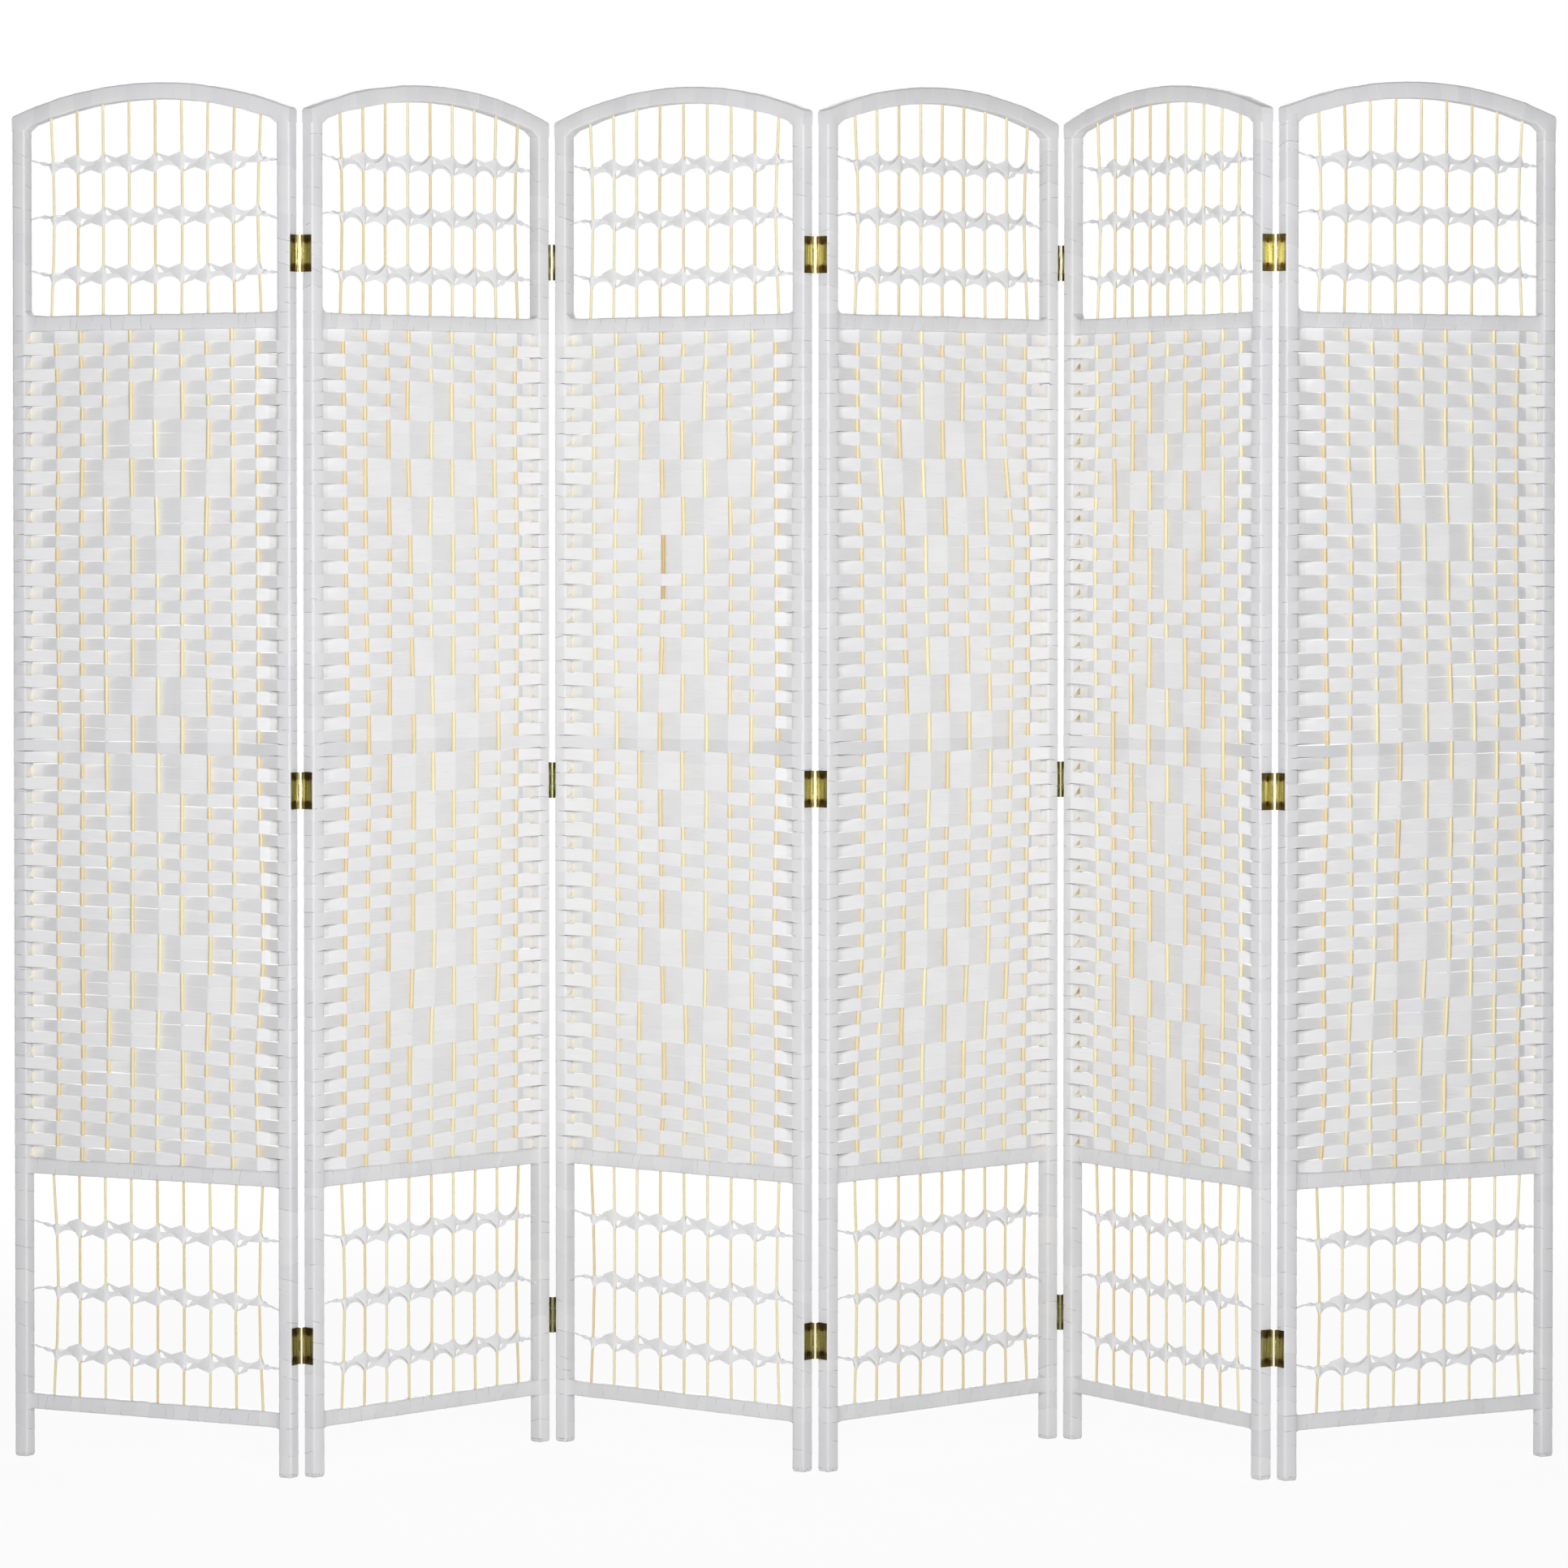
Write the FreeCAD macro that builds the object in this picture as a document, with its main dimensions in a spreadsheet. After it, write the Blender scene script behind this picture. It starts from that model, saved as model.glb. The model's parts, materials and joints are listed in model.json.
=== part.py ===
import FreeCAD, Part
import math
import os
import Sketcher

# A folding room divider of six equal arched panels, joined in a zigzag by brass butt hinges.
# Each panel is a paper-wrapped wooden frame: two stiles, an arch on top and three cross rails.
# Upright reeds stand in the rails. The middle field is woven across them with flat paper strips,
# and the two open fields are tied across with pairs of twined strips.
# Millimetres, +Z up. The origin is on the floor, under the middle of the screen as it stands open:
# +X runs along the screen and +Y points to its back. Each panel is made once in a frame of its own,
# with X across the panel, Y to its back, and the origin on the floor at its middle.

SIZES = (
    ("panel_width", 400.0, "one panel over both stiles"),
    ("overall_height", 1700.0, "floor to the crown of the arch"),
    ("stile_width", 18.0, "stile across the panel"),
    ("stile_depth", 18.0, "stile from front to back, and the arch with it"),
    ("edge_rounding", 2.5, "long edges of the wrapped frame"),
    ("arch_rise", 36.0, "crown of the arch above its shoulders"),
    ("arch_depth", 20.0, "arch from its top to its underside"),
    ("shoulder_rounding", 6.0, "outer corner of the arch"),
    ("rail_height", 18.5, "cross rail from bottom to top"),
    ("rail_depth", 14.0, "cross rail from front to back"),
    ("bottom_rail_height", 60.0, "floor to the bottom rail, the free length of the legs"),
    ("lower_rail_height", 353.0, "floor to the lower rail, under the weave"),
    ("upper_rail_drop", 302.0, "crown of the arch down to the underside of the upper rail, over the weave"),
    ("tenon_radius", 4.0, "round tenons of the rails and the arch"),
    ("tenon_length", 7.0, "tenon inside its stile"),
    ("fit_clearance", 0.05, "play of a tenon, a reed end or a screw in its hole"),
    ("end_room", 0.3, "space past the end of a tenon, a reed or a screw in its hole"),
    ("overrun", 1.0, "how far a cut starts outside the piece"),
    ("tolerance", 0.000001, "two places closer than this are the same"),
    ("open_reed_radius", 1.6, "reeds of the two open fields"),
    ("woven_reed_radius", 2.3, "reeds of the woven field"),
    ("reed_socket_depth", 6.0, "reed end inside its rail"),
    ("strip_thickness", 0.6, "weft strip"),
    ("row_slit", 0.6, "space between two rows of the weave"),
    ("weave_clearance", 0.25, "space between a strip and the reed that it passes"),
    ("wrap_clearance", 0.2, "space between a strip's end and the face of the stile"),
    ("wrap_length", 14.0, "strip's end over the face of the stile"),
    ("slat_thickness", 1.2, "slat that is woven in at mid height"),
    ("tie_thickness", 0.5, "strip of a twined tie"),
    ("tie_fan_height", 25.0, "tie where it spreads over a reed"),
    ("tie_crown_width", 7.0, "widest stretch of the tie over a reed"),
    ("tie_waist_height", 11.0, "both strips of a tie together between two reeds"),
    ("tie_waist_width", 7.0, "narrowest stretch of the tie between two reeds"),
    ("tie_slit", 0.6, "space between the two strips of a tie at the waist"),
    ("joint_gap", 5.4, "edge to edge between two panels when they lie flat"),
    ("pin_offset", 1.7, "hinge line beyond the face that the panels fold towards"),
    ("hinge_height", 45.0, "hinge leaf from bottom to top"),
    ("leaf_thickness", 1.2, "hinge leaf"),
    ("leaf_margin", 1.5, "leaf's edge back from the far face of the stile"),
    ("leaf_setback", 0.4, "leaf's edge back from the hinge line"),
    ("barrel_radius", 2.5, "hinge knuckles"),
    ("barrel_clearance", 0.25, "space round the other leaf's knuckles"),
    ("knuckle_gap", 0.3, "space between two knuckles"),
    ("pin_radius", 1.4, "hinge pin"),
    ("pin_clearance", 0.05, "running clearance of the pin"),
    ("low_hinge_height", 160.0, "floor to the middle of the low hinge"),
    ("top_hinge_drop", 212.0, "crown of the arch down to the middle of the top hinge"),
    ("mid_hinge_rise", 12.0, "middle hinge above the level halfway between the other two"),
    ("screw_inset", 7.5, "screw from the end of its leaf"),
    ("screw_head_radius", 3.0, "countersunk head"),
    ("screw_shank_radius", 1.2, "shank"),
    ("screw_length", 9.0, "screw from head to tip"),
    ("screw_tip_length", 2.0, "pointed end of the screw"),
    ("screw_slot_width", 0.8, "slot across the head"),
    ("screw_slot_depth", 0.5, "slot across the head"),
    ("panel_1_turn", -26.4, "degrees from the line of the screen, as it stands open"),
    ("panel_2_turn", 46.4, "degrees"),
    ("panel_3_turn", -38.5, "degrees"),
    ("panel_4_turn", 42.8, "degrees"),
    ("panel_5_turn", -56.0, "degrees"),
    ("panel_6_turn", 29.0, "degrees"),
)

PANELS = range(1, 7)
REED_COUNT = 9
WEFT_ROWS = 65
SLAT_ROW = 32
# The diamonds of the weave: their first rows, the rows that each step lasts, and how many reeds
# each step reaches to either side of the middle reed.
DIAMOND_STARTS = (4, 24, 44)
STEP_ROWS = 3
STEP_REACHES = (1, 2, 3, 2, 1)
# Rows by which the pattern of each panel runs ahead of the first panel's.
PATTERN_SHIFTS = (0, 0, 0, 0, 1, 2)
# Heights of the three ties, as shares of the open field that they cross.
UPPER_TIE_SHARES = (0.213, 0.52, 0.80)
LOWER_TIE_SHARES = (0.195, 0.478, 0.761)

# Radians between two directions that count as parallel.
PARALLEL_ANGLE = 1e-6

X_AXIS = FreeCAD.Vector(1, 0, 0)
Y_AXIS = FreeCAD.Vector(0, 1, 0)
Z_AXIS = FreeCAD.Vector(0, 0, 1)

# Sizes that follow from the driving ones.
OPENING = "(Sizes.panel_width - 2 * Sizes.stile_width)"
ARCH_RADIUS = "(((Sizes.panel_width / 2) ^ 2 + Sizes.arch_rise ^ 2) / (2 * Sizes.arch_rise))"
ARCH_CENTRE = f"(Sizes.overall_height - {ARCH_RADIUS})"
ARCH_INNER_RADIUS = f"({ARCH_RADIUS} - Sizes.arch_depth)"
STILE_HEIGHT = f"({ARCH_CENTRE} + sqrt({ARCH_INNER_RADIUS} ^ 2 - ({OPENING} / 2) ^ 2))"
TENON_SOCKET_RADIUS = "(Sizes.tenon_radius + Sizes.fit_clearance)"
TENON_SOCKET_DEPTH = "(Sizes.tenon_length + Sizes.end_room)"
PILOT_RADIUS = "(Sizes.screw_shank_radius + Sizes.fit_clearance)"
PILOT_DEPTH = "(Sizes.screw_length - Sizes.leaf_thickness + Sizes.end_room)"
REED_SOCKET_DEPTH = "(Sizes.reed_socket_depth + Sizes.end_room)"
LEAF_WIDTH = "(Sizes.pin_offset + Sizes.stile_depth - Sizes.leaf_margin - Sizes.leaf_setback)"
UPPER_RAIL_HEIGHT = "(Sizes.overall_height - Sizes.upper_rail_drop)"
TOP_HINGE_HEIGHT = "(Sizes.overall_height - Sizes.top_hinge_drop)"
MID_HINGE_HEIGHT = f"((Sizes.low_hinge_height + {TOP_HINGE_HEIGHT}) / 2 + Sizes.mid_hinge_rise)"
RAIL_HEIGHTS = (UPPER_RAIL_HEIGHT, "Sizes.lower_rail_height", "Sizes.bottom_rail_height")
HINGE_HEIGHTS = ("Sizes.low_hinge_height", MID_HINGE_HEIGHT, TOP_HINGE_HEIGHT)

doc = FreeCAD.newDocument("FoldingScreen")
sheet = doc.addObject("Spreadsheet::Sheet", "Sizes")
for row, (alias, number, meaning) in enumerate(SIZES, start=1):
    sheet.set(f"A{row}", meaning)
    sheet.set(f"B{row}", str(number))
    sheet.setAlias(f"B{row}", alias)
doc.recompute()


def value(expression):
    """The number that an expression in the sheet's sizes gives."""
    return float(sheet.evalExpression(expression))


# Common steps

def attached_sketch(body, name, role):
    """An empty sketch on one of the body's own origin planes."""
    plane = next(feature for feature in body.Origin.OriginFeatures if feature.Role == role)
    sketch = body.newObject("Sketcher::SketchObject", name)
    sketch.AttachmentSupport = [(plane, "")]
    sketch.MapMode = "FlatFace"
    return sketch


def bound_distance(sketch, kind, geometry, end, expression):
    """Ties one coordinate of a point, counted from the origin, to an expression."""
    number = value(expression)
    if number < 0:
        index = sketch.addConstraint(Sketcher.Constraint(kind, geometry, end, -1, 1, -number))
        expression = f"-({expression})"
    else:
        index = sketch.addConstraint(Sketcher.Constraint(kind, -1, 1, geometry, end, number))
    sketch.setExpression(f"Constraints[{index}]", expression)


def outline_sketch(body, name, role, points):
    """A closed outline of straight lines through points given as pairs of expressions."""
    sketch = attached_sketch(body, name, role)
    places = [FreeCAD.Vector(value(across), value(along), 0) for across, along in points]
    following = places[1:] + places[:1]
    for start, stop in zip(places, following):
        sketch.addGeometry(Part.LineSegment(start, stop), False)
    for number, (across, along) in enumerate(points):
        before = (number - 1) % len(points)
        sketch.addConstraint(Sketcher.Constraint("Coincident", before, 2, number, 1))
        if across == "0" and along == "0":
            sketch.addConstraint(Sketcher.Constraint("Coincident", number, 1, -1, 1))
            continue
        if across == "0":
            sketch.addConstraint(Sketcher.Constraint("PointOnObject", number, 1, -2))
        else:
            bound_distance(sketch, "DistanceX", number, 1, across)
        if along == "0":
            sketch.addConstraint(Sketcher.Constraint("PointOnObject", number, 1, -1))
        else:
            bound_distance(sketch, "DistanceY", number, 1, along)
    return sketch


def rectangle_sketch(body, name, role, width, height):
    """A rectangle centred on the origin."""
    left, right = f"-{width} / 2", f"{width} / 2"
    bottom, top = f"-{height} / 2", f"{height} / 2"
    points = ((left, bottom), (right, bottom), (right, top), (left, top))
    return outline_sketch(body, name, role, points)


def pad(body, sketch, length, both_ways=False):
    """The sketch, drawn out square to its plane."""
    feature = body.newObject("PartDesign::Pad", sketch.Name + "_pad")
    feature.Profile = sketch
    feature.setExpression("Length", length)
    if both_ways:
        feature.SideType = "Symmetric"
    doc.recompute()
    return feature


def round_edges(body, base, radius, chosen):
    """A fillet on those edges of the base that the given test picks."""
    picked = [f"Edge{number}" for number, edge in enumerate(base.Shape.Edges, start=1) if chosen(edge)]
    feature = body.newObject("PartDesign::Fillet", base.Name + "_rounding")
    feature.Base = (base, picked)
    feature.setExpression("Radius", radius)
    doc.recompute()
    return feature


def is_straight_along(direction):
    """A test for straight edges that run along a direction."""
    def test(edge):
        if not isinstance(edge.Curve, Part.Line):
            return False
        return edge.tangentAt(edge.FirstParameter).isParallel(direction, PARALLEL_ANGLE)
    return test


def cylinder(name, radius, height, start, direction):
    """A round bar from a start point along a direction."""
    bar = doc.addObject("Part::Cylinder", name)
    bar.setExpression("Radius", radius)
    bar.setExpression("Height", height)
    bar.Placement = FreeCAD.Placement(start, FreeCAD.Rotation(Z_AXIS, direction))
    return bar


def cut_away(name, base, tools):
    """The base without the tools."""
    together = doc.addObject("Part::Compound", name + "_tools")
    together.Links = tools
    cut = doc.addObject("Part::Cut", name)
    cut.Base = base
    cut.Tool = together
    return cut


# Frame

def rail_middle(height):
    """Height of the middle of the rail whose underside is at the given height."""
    return f"({height} + Sizes.rail_height / 2)"


def make_stile(name, hinged):
    """A stile with its outer face towards +X, drilled for the tenons and, if hinged, for the screws."""
    body = doc.addObject("PartDesign::Body", name + "_bar")
    section = rectangle_sketch(body, name + "_section", "XY_Plane", "Sizes.stile_width", "Sizes.stile_depth")
    bar = pad(body, section, STILE_HEIGHT)
    round_edges(body, bar, "Sizes.edge_rounding", is_straight_along(Z_AXIS))
    half = value("Sizes.stile_width / 2")
    overrun = value("Sizes.overrun")
    depth = f"{TENON_SOCKET_DEPTH} + Sizes.overrun"
    tools = []
    for number, height in enumerate(RAIL_HEIGHTS):
        mouth = FreeCAD.Vector(-half - overrun, 0, value(rail_middle(height)))
        tools.append(cylinder(f"{name}_rail_socket_{number}", TENON_SOCKET_RADIUS, depth, mouth, X_AXIS))
    top = FreeCAD.Vector(0, 0, value(STILE_HEIGHT) + overrun)
    tools.append(cylinder(f"{name}_arch_socket", TENON_SOCKET_RADIUS, depth, top, -Z_AXIS))
    if hinged:
        for number, height in enumerate(screw_heights()):
            mouth = FreeCAD.Vector(half + overrun, 0, height)
            pilot_depth = f"{PILOT_DEPTH} + Sizes.overrun"
            tools.append(cylinder(f"{name}_pilot_{number}", PILOT_RADIUS, pilot_depth, mouth, -X_AXIS))
    return cut_away(name, body, tools)


def make_arch():
    """The arched top rail: two arcs about one centre, flat seats on the stiles, and a tenon in each seat."""
    body = doc.addObject("PartDesign::Body", "arch_bar")
    sketch = attached_sketch(body, "arch_outline", "XZ_Plane")
    half, inner = value("Sizes.panel_width / 2"), value(f"{OPENING} / 2")
    seat, shoulder = value(STILE_HEIGHT), value("Sizes.overall_height - Sizes.arch_rise")
    face, tolerance = value("Sizes.stile_depth / 2"), value("Sizes.tolerance")
    centre = FreeCAD.Vector(0, value(ARCH_CENTRE), 0)

    def arc(radius, across):
        turn = math.acos(across / radius)
        return Part.ArcOfCircle(Part.Circle(centre, Z_AXIS, radius), turn, math.pi - turn)

    def line(start, stop):
        return Part.LineSegment(FreeCAD.Vector(*start, 0), FreeCAD.Vector(*stop, 0))

    sketch.addGeometry(arc(value(ARCH_RADIUS), half), False)
    sketch.addGeometry(line((-half, shoulder), (-half, seat)), False)
    sketch.addGeometry(line((-half, seat), (-inner, seat)), False)
    sketch.addGeometry(arc(value(ARCH_INNER_RADIUS), inner), False)
    sketch.addGeometry(line((inner, seat), (half, seat)), False)
    sketch.addGeometry(line((half, seat), (half, shoulder)), False)
    left_side = ((0, 2, 1, 1), (1, 2, 2, 1), (2, 2, 3, 2))
    right_side = ((3, 1, 4, 1), (4, 2, 5, 1), (5, 2, 0, 1))
    one_centre = (0, 3, 3, 3)
    for joined in (*left_side, *right_side, one_centre):
        sketch.addConstraint(Sketcher.Constraint("Coincident", *joined))
    for upright in (1, 5):
        sketch.addConstraint(Sketcher.Constraint("Vertical", upright))
    for level in (2, 4):
        sketch.addConstraint(Sketcher.Constraint("Horizontal", level))
    sketch.addConstraint(Sketcher.Constraint("PointOnObject", 0, 3, -2))
    bound_distance(sketch, "DistanceY", 0, 3, ARCH_CENTRE)
    bound_distance(sketch, "DistanceX", 5, 2, "Sizes.panel_width / 2")
    bound_distance(sketch, "DistanceX", 1, 1, "-Sizes.panel_width / 2")
    bound_distance(sketch, "DistanceX", 4, 1, f"{OPENING} / 2")
    bound_distance(sketch, "DistanceX", 2, 2, f"-{OPENING} / 2")
    for curve, radius in ((0, ARCH_RADIUS), (3, ARCH_INNER_RADIUS)):
        index = sketch.addConstraint(Sketcher.Constraint("Radius", curve, value(radius)))
        sketch.setExpression(f"Constraints[{index}]", radius)
    bar = pad(body, sketch, "Sizes.stile_depth", both_ways=True)

    def is_shoulder(edge):
        return is_straight_along(Y_AXIS)(edge) and abs(edge.Vertexes[0].Z - shoulder) < tolerance

    eased = round_edges(body, bar, "Sizes.shoulder_rounding", is_shoulder)

    def is_long_edge(edge):
        on_face = all(abs(abs(point.Y) - face) < tolerance for point in edge.Vertexes)
        on_seat = all(abs(point.Z - seat) < tolerance for point in edge.Vertexes)
        return on_face and not (on_seat and isinstance(edge.Curve, Part.Line))

    round_edges(body, eased, "Sizes.edge_rounding", is_long_edge)
    tenons = attached_sketch(body, "arch_tenons", "XY_Plane")
    tenons.setExpression("AttachmentOffset.Base.z", f"{STILE_HEIGHT} - Sizes.tenon_length")
    spread = f"({OPENING} + Sizes.stile_width) / 2"
    for number, place in enumerate((spread, f"-{spread}")):
        middle = FreeCAD.Vector(value(place), 0, 0)
        tenons.addGeometry(Part.Circle(middle, Z_AXIS, value("Sizes.tenon_radius")), False)
        index = tenons.addConstraint(Sketcher.Constraint("Radius", number, value("Sizes.tenon_radius")))
        tenons.setExpression(f"Constraints[{index}]", "Sizes.tenon_radius")
        tenons.addConstraint(Sketcher.Constraint("PointOnObject", number, 3, -1))
        bound_distance(tenons, "DistanceX", number, 3, place)
    pad(body, tenons, "Sizes.tenon_length + Sizes.overrun")
    tools = []
    for number, across in enumerate(reed_places()):
        mouth = FreeCAD.Vector(across, 0, arch_underside(across) - value("Sizes.overrun"))
        radius = "Sizes.open_reed_radius + Sizes.fit_clearance"
        tools.append(cylinder(f"arch_reed_socket_{number}", radius, reed_hole_depth(), mouth, Z_AXIS))
    return cut_away("arch", body, tools)


def make_rail(name, height, reed_above=None, reed_below=None):
    """A cross rail with a round tenon at each end and sockets for the reeds above and below it."""
    body = doc.addObject("PartDesign::Body", name + "_bar")
    section = rectangle_sketch(body, name + "_section", "YZ_Plane", "Sizes.rail_depth", "Sizes.rail_height")
    bar = pad(body, section, OPENING, both_ways=True)
    round_edges(body, bar, "Sizes.edge_rounding", is_straight_along(X_AXIS))
    tenon = attached_sketch(body, name + "_tenon", "YZ_Plane")
    tenon.addGeometry(Part.Circle(FreeCAD.Vector(0, 0, 0), Z_AXIS, value("Sizes.tenon_radius")), False)
    tenon.addConstraint(Sketcher.Constraint("Coincident", 0, 3, -1, 1))
    index = tenon.addConstraint(Sketcher.Constraint("Radius", 0, value("Sizes.tenon_radius")))
    tenon.setExpression(f"Constraints[{index}]", "Sizes.tenon_radius")
    pad(body, tenon, f"{OPENING} + 2 * Sizes.tenon_length", both_ways=True)
    body.setExpression("Placement.Base.z", rail_middle(height))
    tools = []
    for side, reed_radius in (("top", reed_above), ("bottom", reed_below)):
        if reed_radius is None:
            continue
        radius = f"{reed_radius} + Sizes.fit_clearance"
        if side == "top":
            level, direction = value(f"{height} + Sizes.rail_height + Sizes.overrun"), -Z_AXIS
        else:
            level, direction = value(f"{height} - Sizes.overrun"), Z_AXIS
        for number, across in enumerate(reed_places()):
            mouth = FreeCAD.Vector(across, 0, level)
            tools.append(cylinder(f"{name}_{side}_{number}", radius, reed_hole_depth(), mouth, direction))
    return cut_away(name, body, tools)


# Reeds

def reed_places():
    """Places of the reeds across the panel, spaced evenly between the stiles."""
    opening = value(OPENING)
    pitch = opening / (REED_COUNT + 1)
    return [pitch * (number + 1) - opening / 2 for number in range(REED_COUNT)]


def reed_hole_depth():
    """Depth of a cutter for a reed socket."""
    return f"{REED_SOCKET_DEPTH} + Sizes.overrun"


def arch_underside(across):
    """Height of the underside of the arch at a place across the panel."""
    return value(ARCH_CENTRE) + math.sqrt(value(ARCH_INNER_RADIUS) ** 2 - across ** 2)


def make_reeds():
    """The reeds of the lower open field, the woven field and the upper open field."""
    low = "Sizes.bottom_rail_height + Sizes.rail_height - Sizes.reed_socket_depth"
    mid = "Sizes.lower_rail_height + Sizes.rail_height - Sizes.reed_socket_depth"
    top = f"{UPPER_RAIL_HEIGHT} + Sizes.rail_height - Sizes.reed_socket_depth"
    low_end = "Sizes.lower_rail_height + Sizes.reed_socket_depth"
    mid_end = f"{UPPER_RAIL_HEIGHT} + Sizes.reed_socket_depth"
    reeds = []
    for number, across in enumerate(reed_places()):
        drop = f"sqrt({ARCH_INNER_RADIUS} ^ 2 - ({OPENING} * {(number + 1) / (REED_COUNT + 1) - 0.5}) ^ 2)"
        top_end = f"{ARCH_CENTRE} + {drop} + Sizes.reed_socket_depth"
        for field, radius, start, stop in (
            ("low", "Sizes.open_reed_radius", low, low_end),
            ("woven", "Sizes.woven_reed_radius", mid, mid_end),
            ("top", "Sizes.open_reed_radius", top, top_end),
        ):
            foot = FreeCAD.Vector(across, 0, value(start))
            reeds.append(cylinder(f"{field}_reed_{number}", radius, f"{stop} - ({start})", foot, Z_AXIS))
    return reeds


# Weave and ties

def band(knots, thickness, height):
    """A flat strip on edge that runs through the knots, level at each one.

    Each face of the strip is one cubic curve, half the thickness from the knots. Its control points
    lie level with each knot, a third of the way to the next one.
    """
    places = [x for x, y in knots]
    reaches = [(after - before) / 3 for before, after in zip(places, places[1:])]

    def face_edge(offset):
        poles = []
        for (x, y), before, after in zip(knots, [0, *reaches], [*reaches, 0]):
            poles += [FreeCAD.Vector(x - before, y + offset, 0), FreeCAD.Vector(x + after, y + offset, 0)]
        curve = Part.BSplineCurve()
        repeats = [4, *[2] * (len(knots) - 2), 4]
        curve.buildFromPolesMultsKnots(poles, repeats, places, False, 3)
        return curve.toShape(), poles[0], poles[-1]

    near, near_left, near_right = face_edge(-thickness / 2)
    far, far_left, far_right = face_edge(thickness / 2)
    left = Part.LineSegment(near_left, far_left).toShape()
    right = Part.LineSegment(near_right, far_right).toShape()
    return Part.Face(Part.Wire([near, right, far, left])).extrude(Z_AXIS * height)


def reed_shows(reed, row):
    """True where the reed passes in front of the strip of that row. Reeds count from 1."""
    for start in DIAMOND_STARTS:
        step = (row - start) // STEP_ROWS
        if 0 <= step < len(STEP_REACHES):
            first = (REED_COUNT + 1) // 2 - STEP_REACHES[step]
            last = REED_COUNT + 1 - first
            if first <= reed <= last:
                return (reed - first) % 2 == 0
    return (reed + row) % 2 == 0


def weft_knots(row, thickness, ends_in_front):
    """Knots of a strip of the weave: behind the reeds that show, before the others, and past the stiles.

    Its ends pass the stiles on the side away from the outer reeds, or both lie on the fronts.
    """
    level = value("Sizes.woven_reed_radius + Sizes.weave_clearance") + thickness / 2
    wrap_level = value("Sizes.stile_depth / 2 + Sizes.wrap_clearance") + thickness / 2
    inner = value(f"{OPENING} / 2")
    end = inner + value("Sizes.wrap_length")
    sides = [1 if reed_shows(reed + 1, row) else -1 for reed in range(REED_COUNT)]
    knots = [(across, level * side) for across, side in zip(reed_places(), sides)]
    if ends_in_front:
        left = right = -wrap_level
    else:
        left, right = -sides[0] * wrap_level, -sides[-1] * wrap_level
    return [(-end, left), (-inner, left), *knots, (inner, right), (end, right)]


def row_pitch():
    """Height of one row of the weave."""
    return value(f"{UPPER_RAIL_HEIGHT} - Sizes.lower_rail_height - Sizes.rail_height") / WEFT_ROWS


def row_bottom(row):
    """Height of the lower edge of the strip in a row. Rows count down from the upper rail."""
    return value(f"{UPPER_RAIL_HEIGHT} + Sizes.row_slit / 2") - row_pitch() * (row + 1)


def make_strips(name, rows, shift, thickness, ends_in_front):
    """The woven strips of some rows, as separate pieces."""
    height = row_pitch() - value("Sizes.row_slit")
    made = {}
    pieces = []
    for row in rows:
        knots = tuple(weft_knots(row + shift, thickness, ends_in_front))
        if knots not in made:
            made[knots] = band(knots, thickness, height)
        piece = made[knots].copy()
        piece.translate(Z_AXIS * row_bottom(row))
        pieces.append(piece)
    feature = doc.addObject("Part::Feature", name)
    feature.Shape = Part.makeCompound(pieces)
    return feature


def tie_strip():
    """One strip of a twined tie about the middle height of the tie.

    It is folded to pass before one reed and behind the next. Over each reed it spreads to the full
    height, and between two reeds it narrows to the upper half of the waist, over the other strip.
    """
    thickness = value("Sizes.tie_thickness")
    level = value("Sizes.open_reed_radius + Sizes.weave_clearance") + thickness / 2
    end = value(f"{OPENING} / 2 - Sizes.wrap_clearance")
    places = reed_places()
    fan = value("Sizes.tie_fan_height / 2")
    waist = value("Sizes.tie_waist_height / 2")
    slit = value("Sizes.tie_slit / 2")
    crown = value("Sizes.tie_crown_width / 2")
    folds = [(-end, 0)]
    for number, across in enumerate(places):
        depth = level if number % 2 else -level
        folds += [(across - crown, depth), (across + crown, depth)]
    folds.append((end, 0))
    near = [FreeCAD.Vector(across, depth - thickness / 2, -fan) for across, depth in folds]
    far = [FreeCAD.Vector(across, depth + thickness / 2, -fan) for across, depth in folds]
    rim = near + far[::-1]
    strip = Part.Face(Part.makePolygon(rim + rim[:1])).extrude(Z_AXIS * (2 * fan))
    lead = (places[1] - places[0] - value("Sizes.tie_waist_width")) / 2
    spread = ((-lead, waist, slit), (-crown, fan, -fan), (crown, fan, -fan), (lead, waist, slit))
    upper, lower = [(-end, waist)], [(-end, slit)]
    for across in places:
        for reach, high, low in spread:
            upper.append((across + reach, high))
            lower.append((across + reach, low))
    upper.append((end, waist))
    lower.append((end, slit))
    front = -value("Sizes.stile_depth / 2")
    ring = [FreeCAD.Vector(across, front, along) for across, along in upper + lower[::-1]]
    outline = Part.makePolygon(ring + ring[:1])
    window = Part.Face(outline).extrude(Y_AXIS * value("Sizes.stile_depth"))
    return strip.common(window).Solids[0]


def make_ties():
    """The ties of both open fields: the second strip of each is the first, turned over."""
    strip = tie_strip()
    other = strip.copy()
    other.rotate(FreeCAD.Vector(0, 0, 0), X_AXIS, 180)
    low = value("Sizes.bottom_rail_height + Sizes.rail_height")
    low_end = value("Sizes.lower_rail_height")
    top = value(f"{UPPER_RAIL_HEIGHT} + Sizes.rail_height")
    top_end = value(STILE_HEIGHT)
    heights = [low + (low_end - low) * share for share in LOWER_TIE_SHARES]
    heights += [top + (top_end - top) * share for share in UPPER_TIE_SHARES]
    pieces = []
    for height in heights:
        for half in (strip, other):
            piece = half.copy()
            piece.translate(Z_AXIS * height)
            pieces.append(piece)
    feature = doc.addObject("Part::Feature", "ties")
    feature.Shape = Part.makeCompound(pieces)
    return feature


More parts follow.
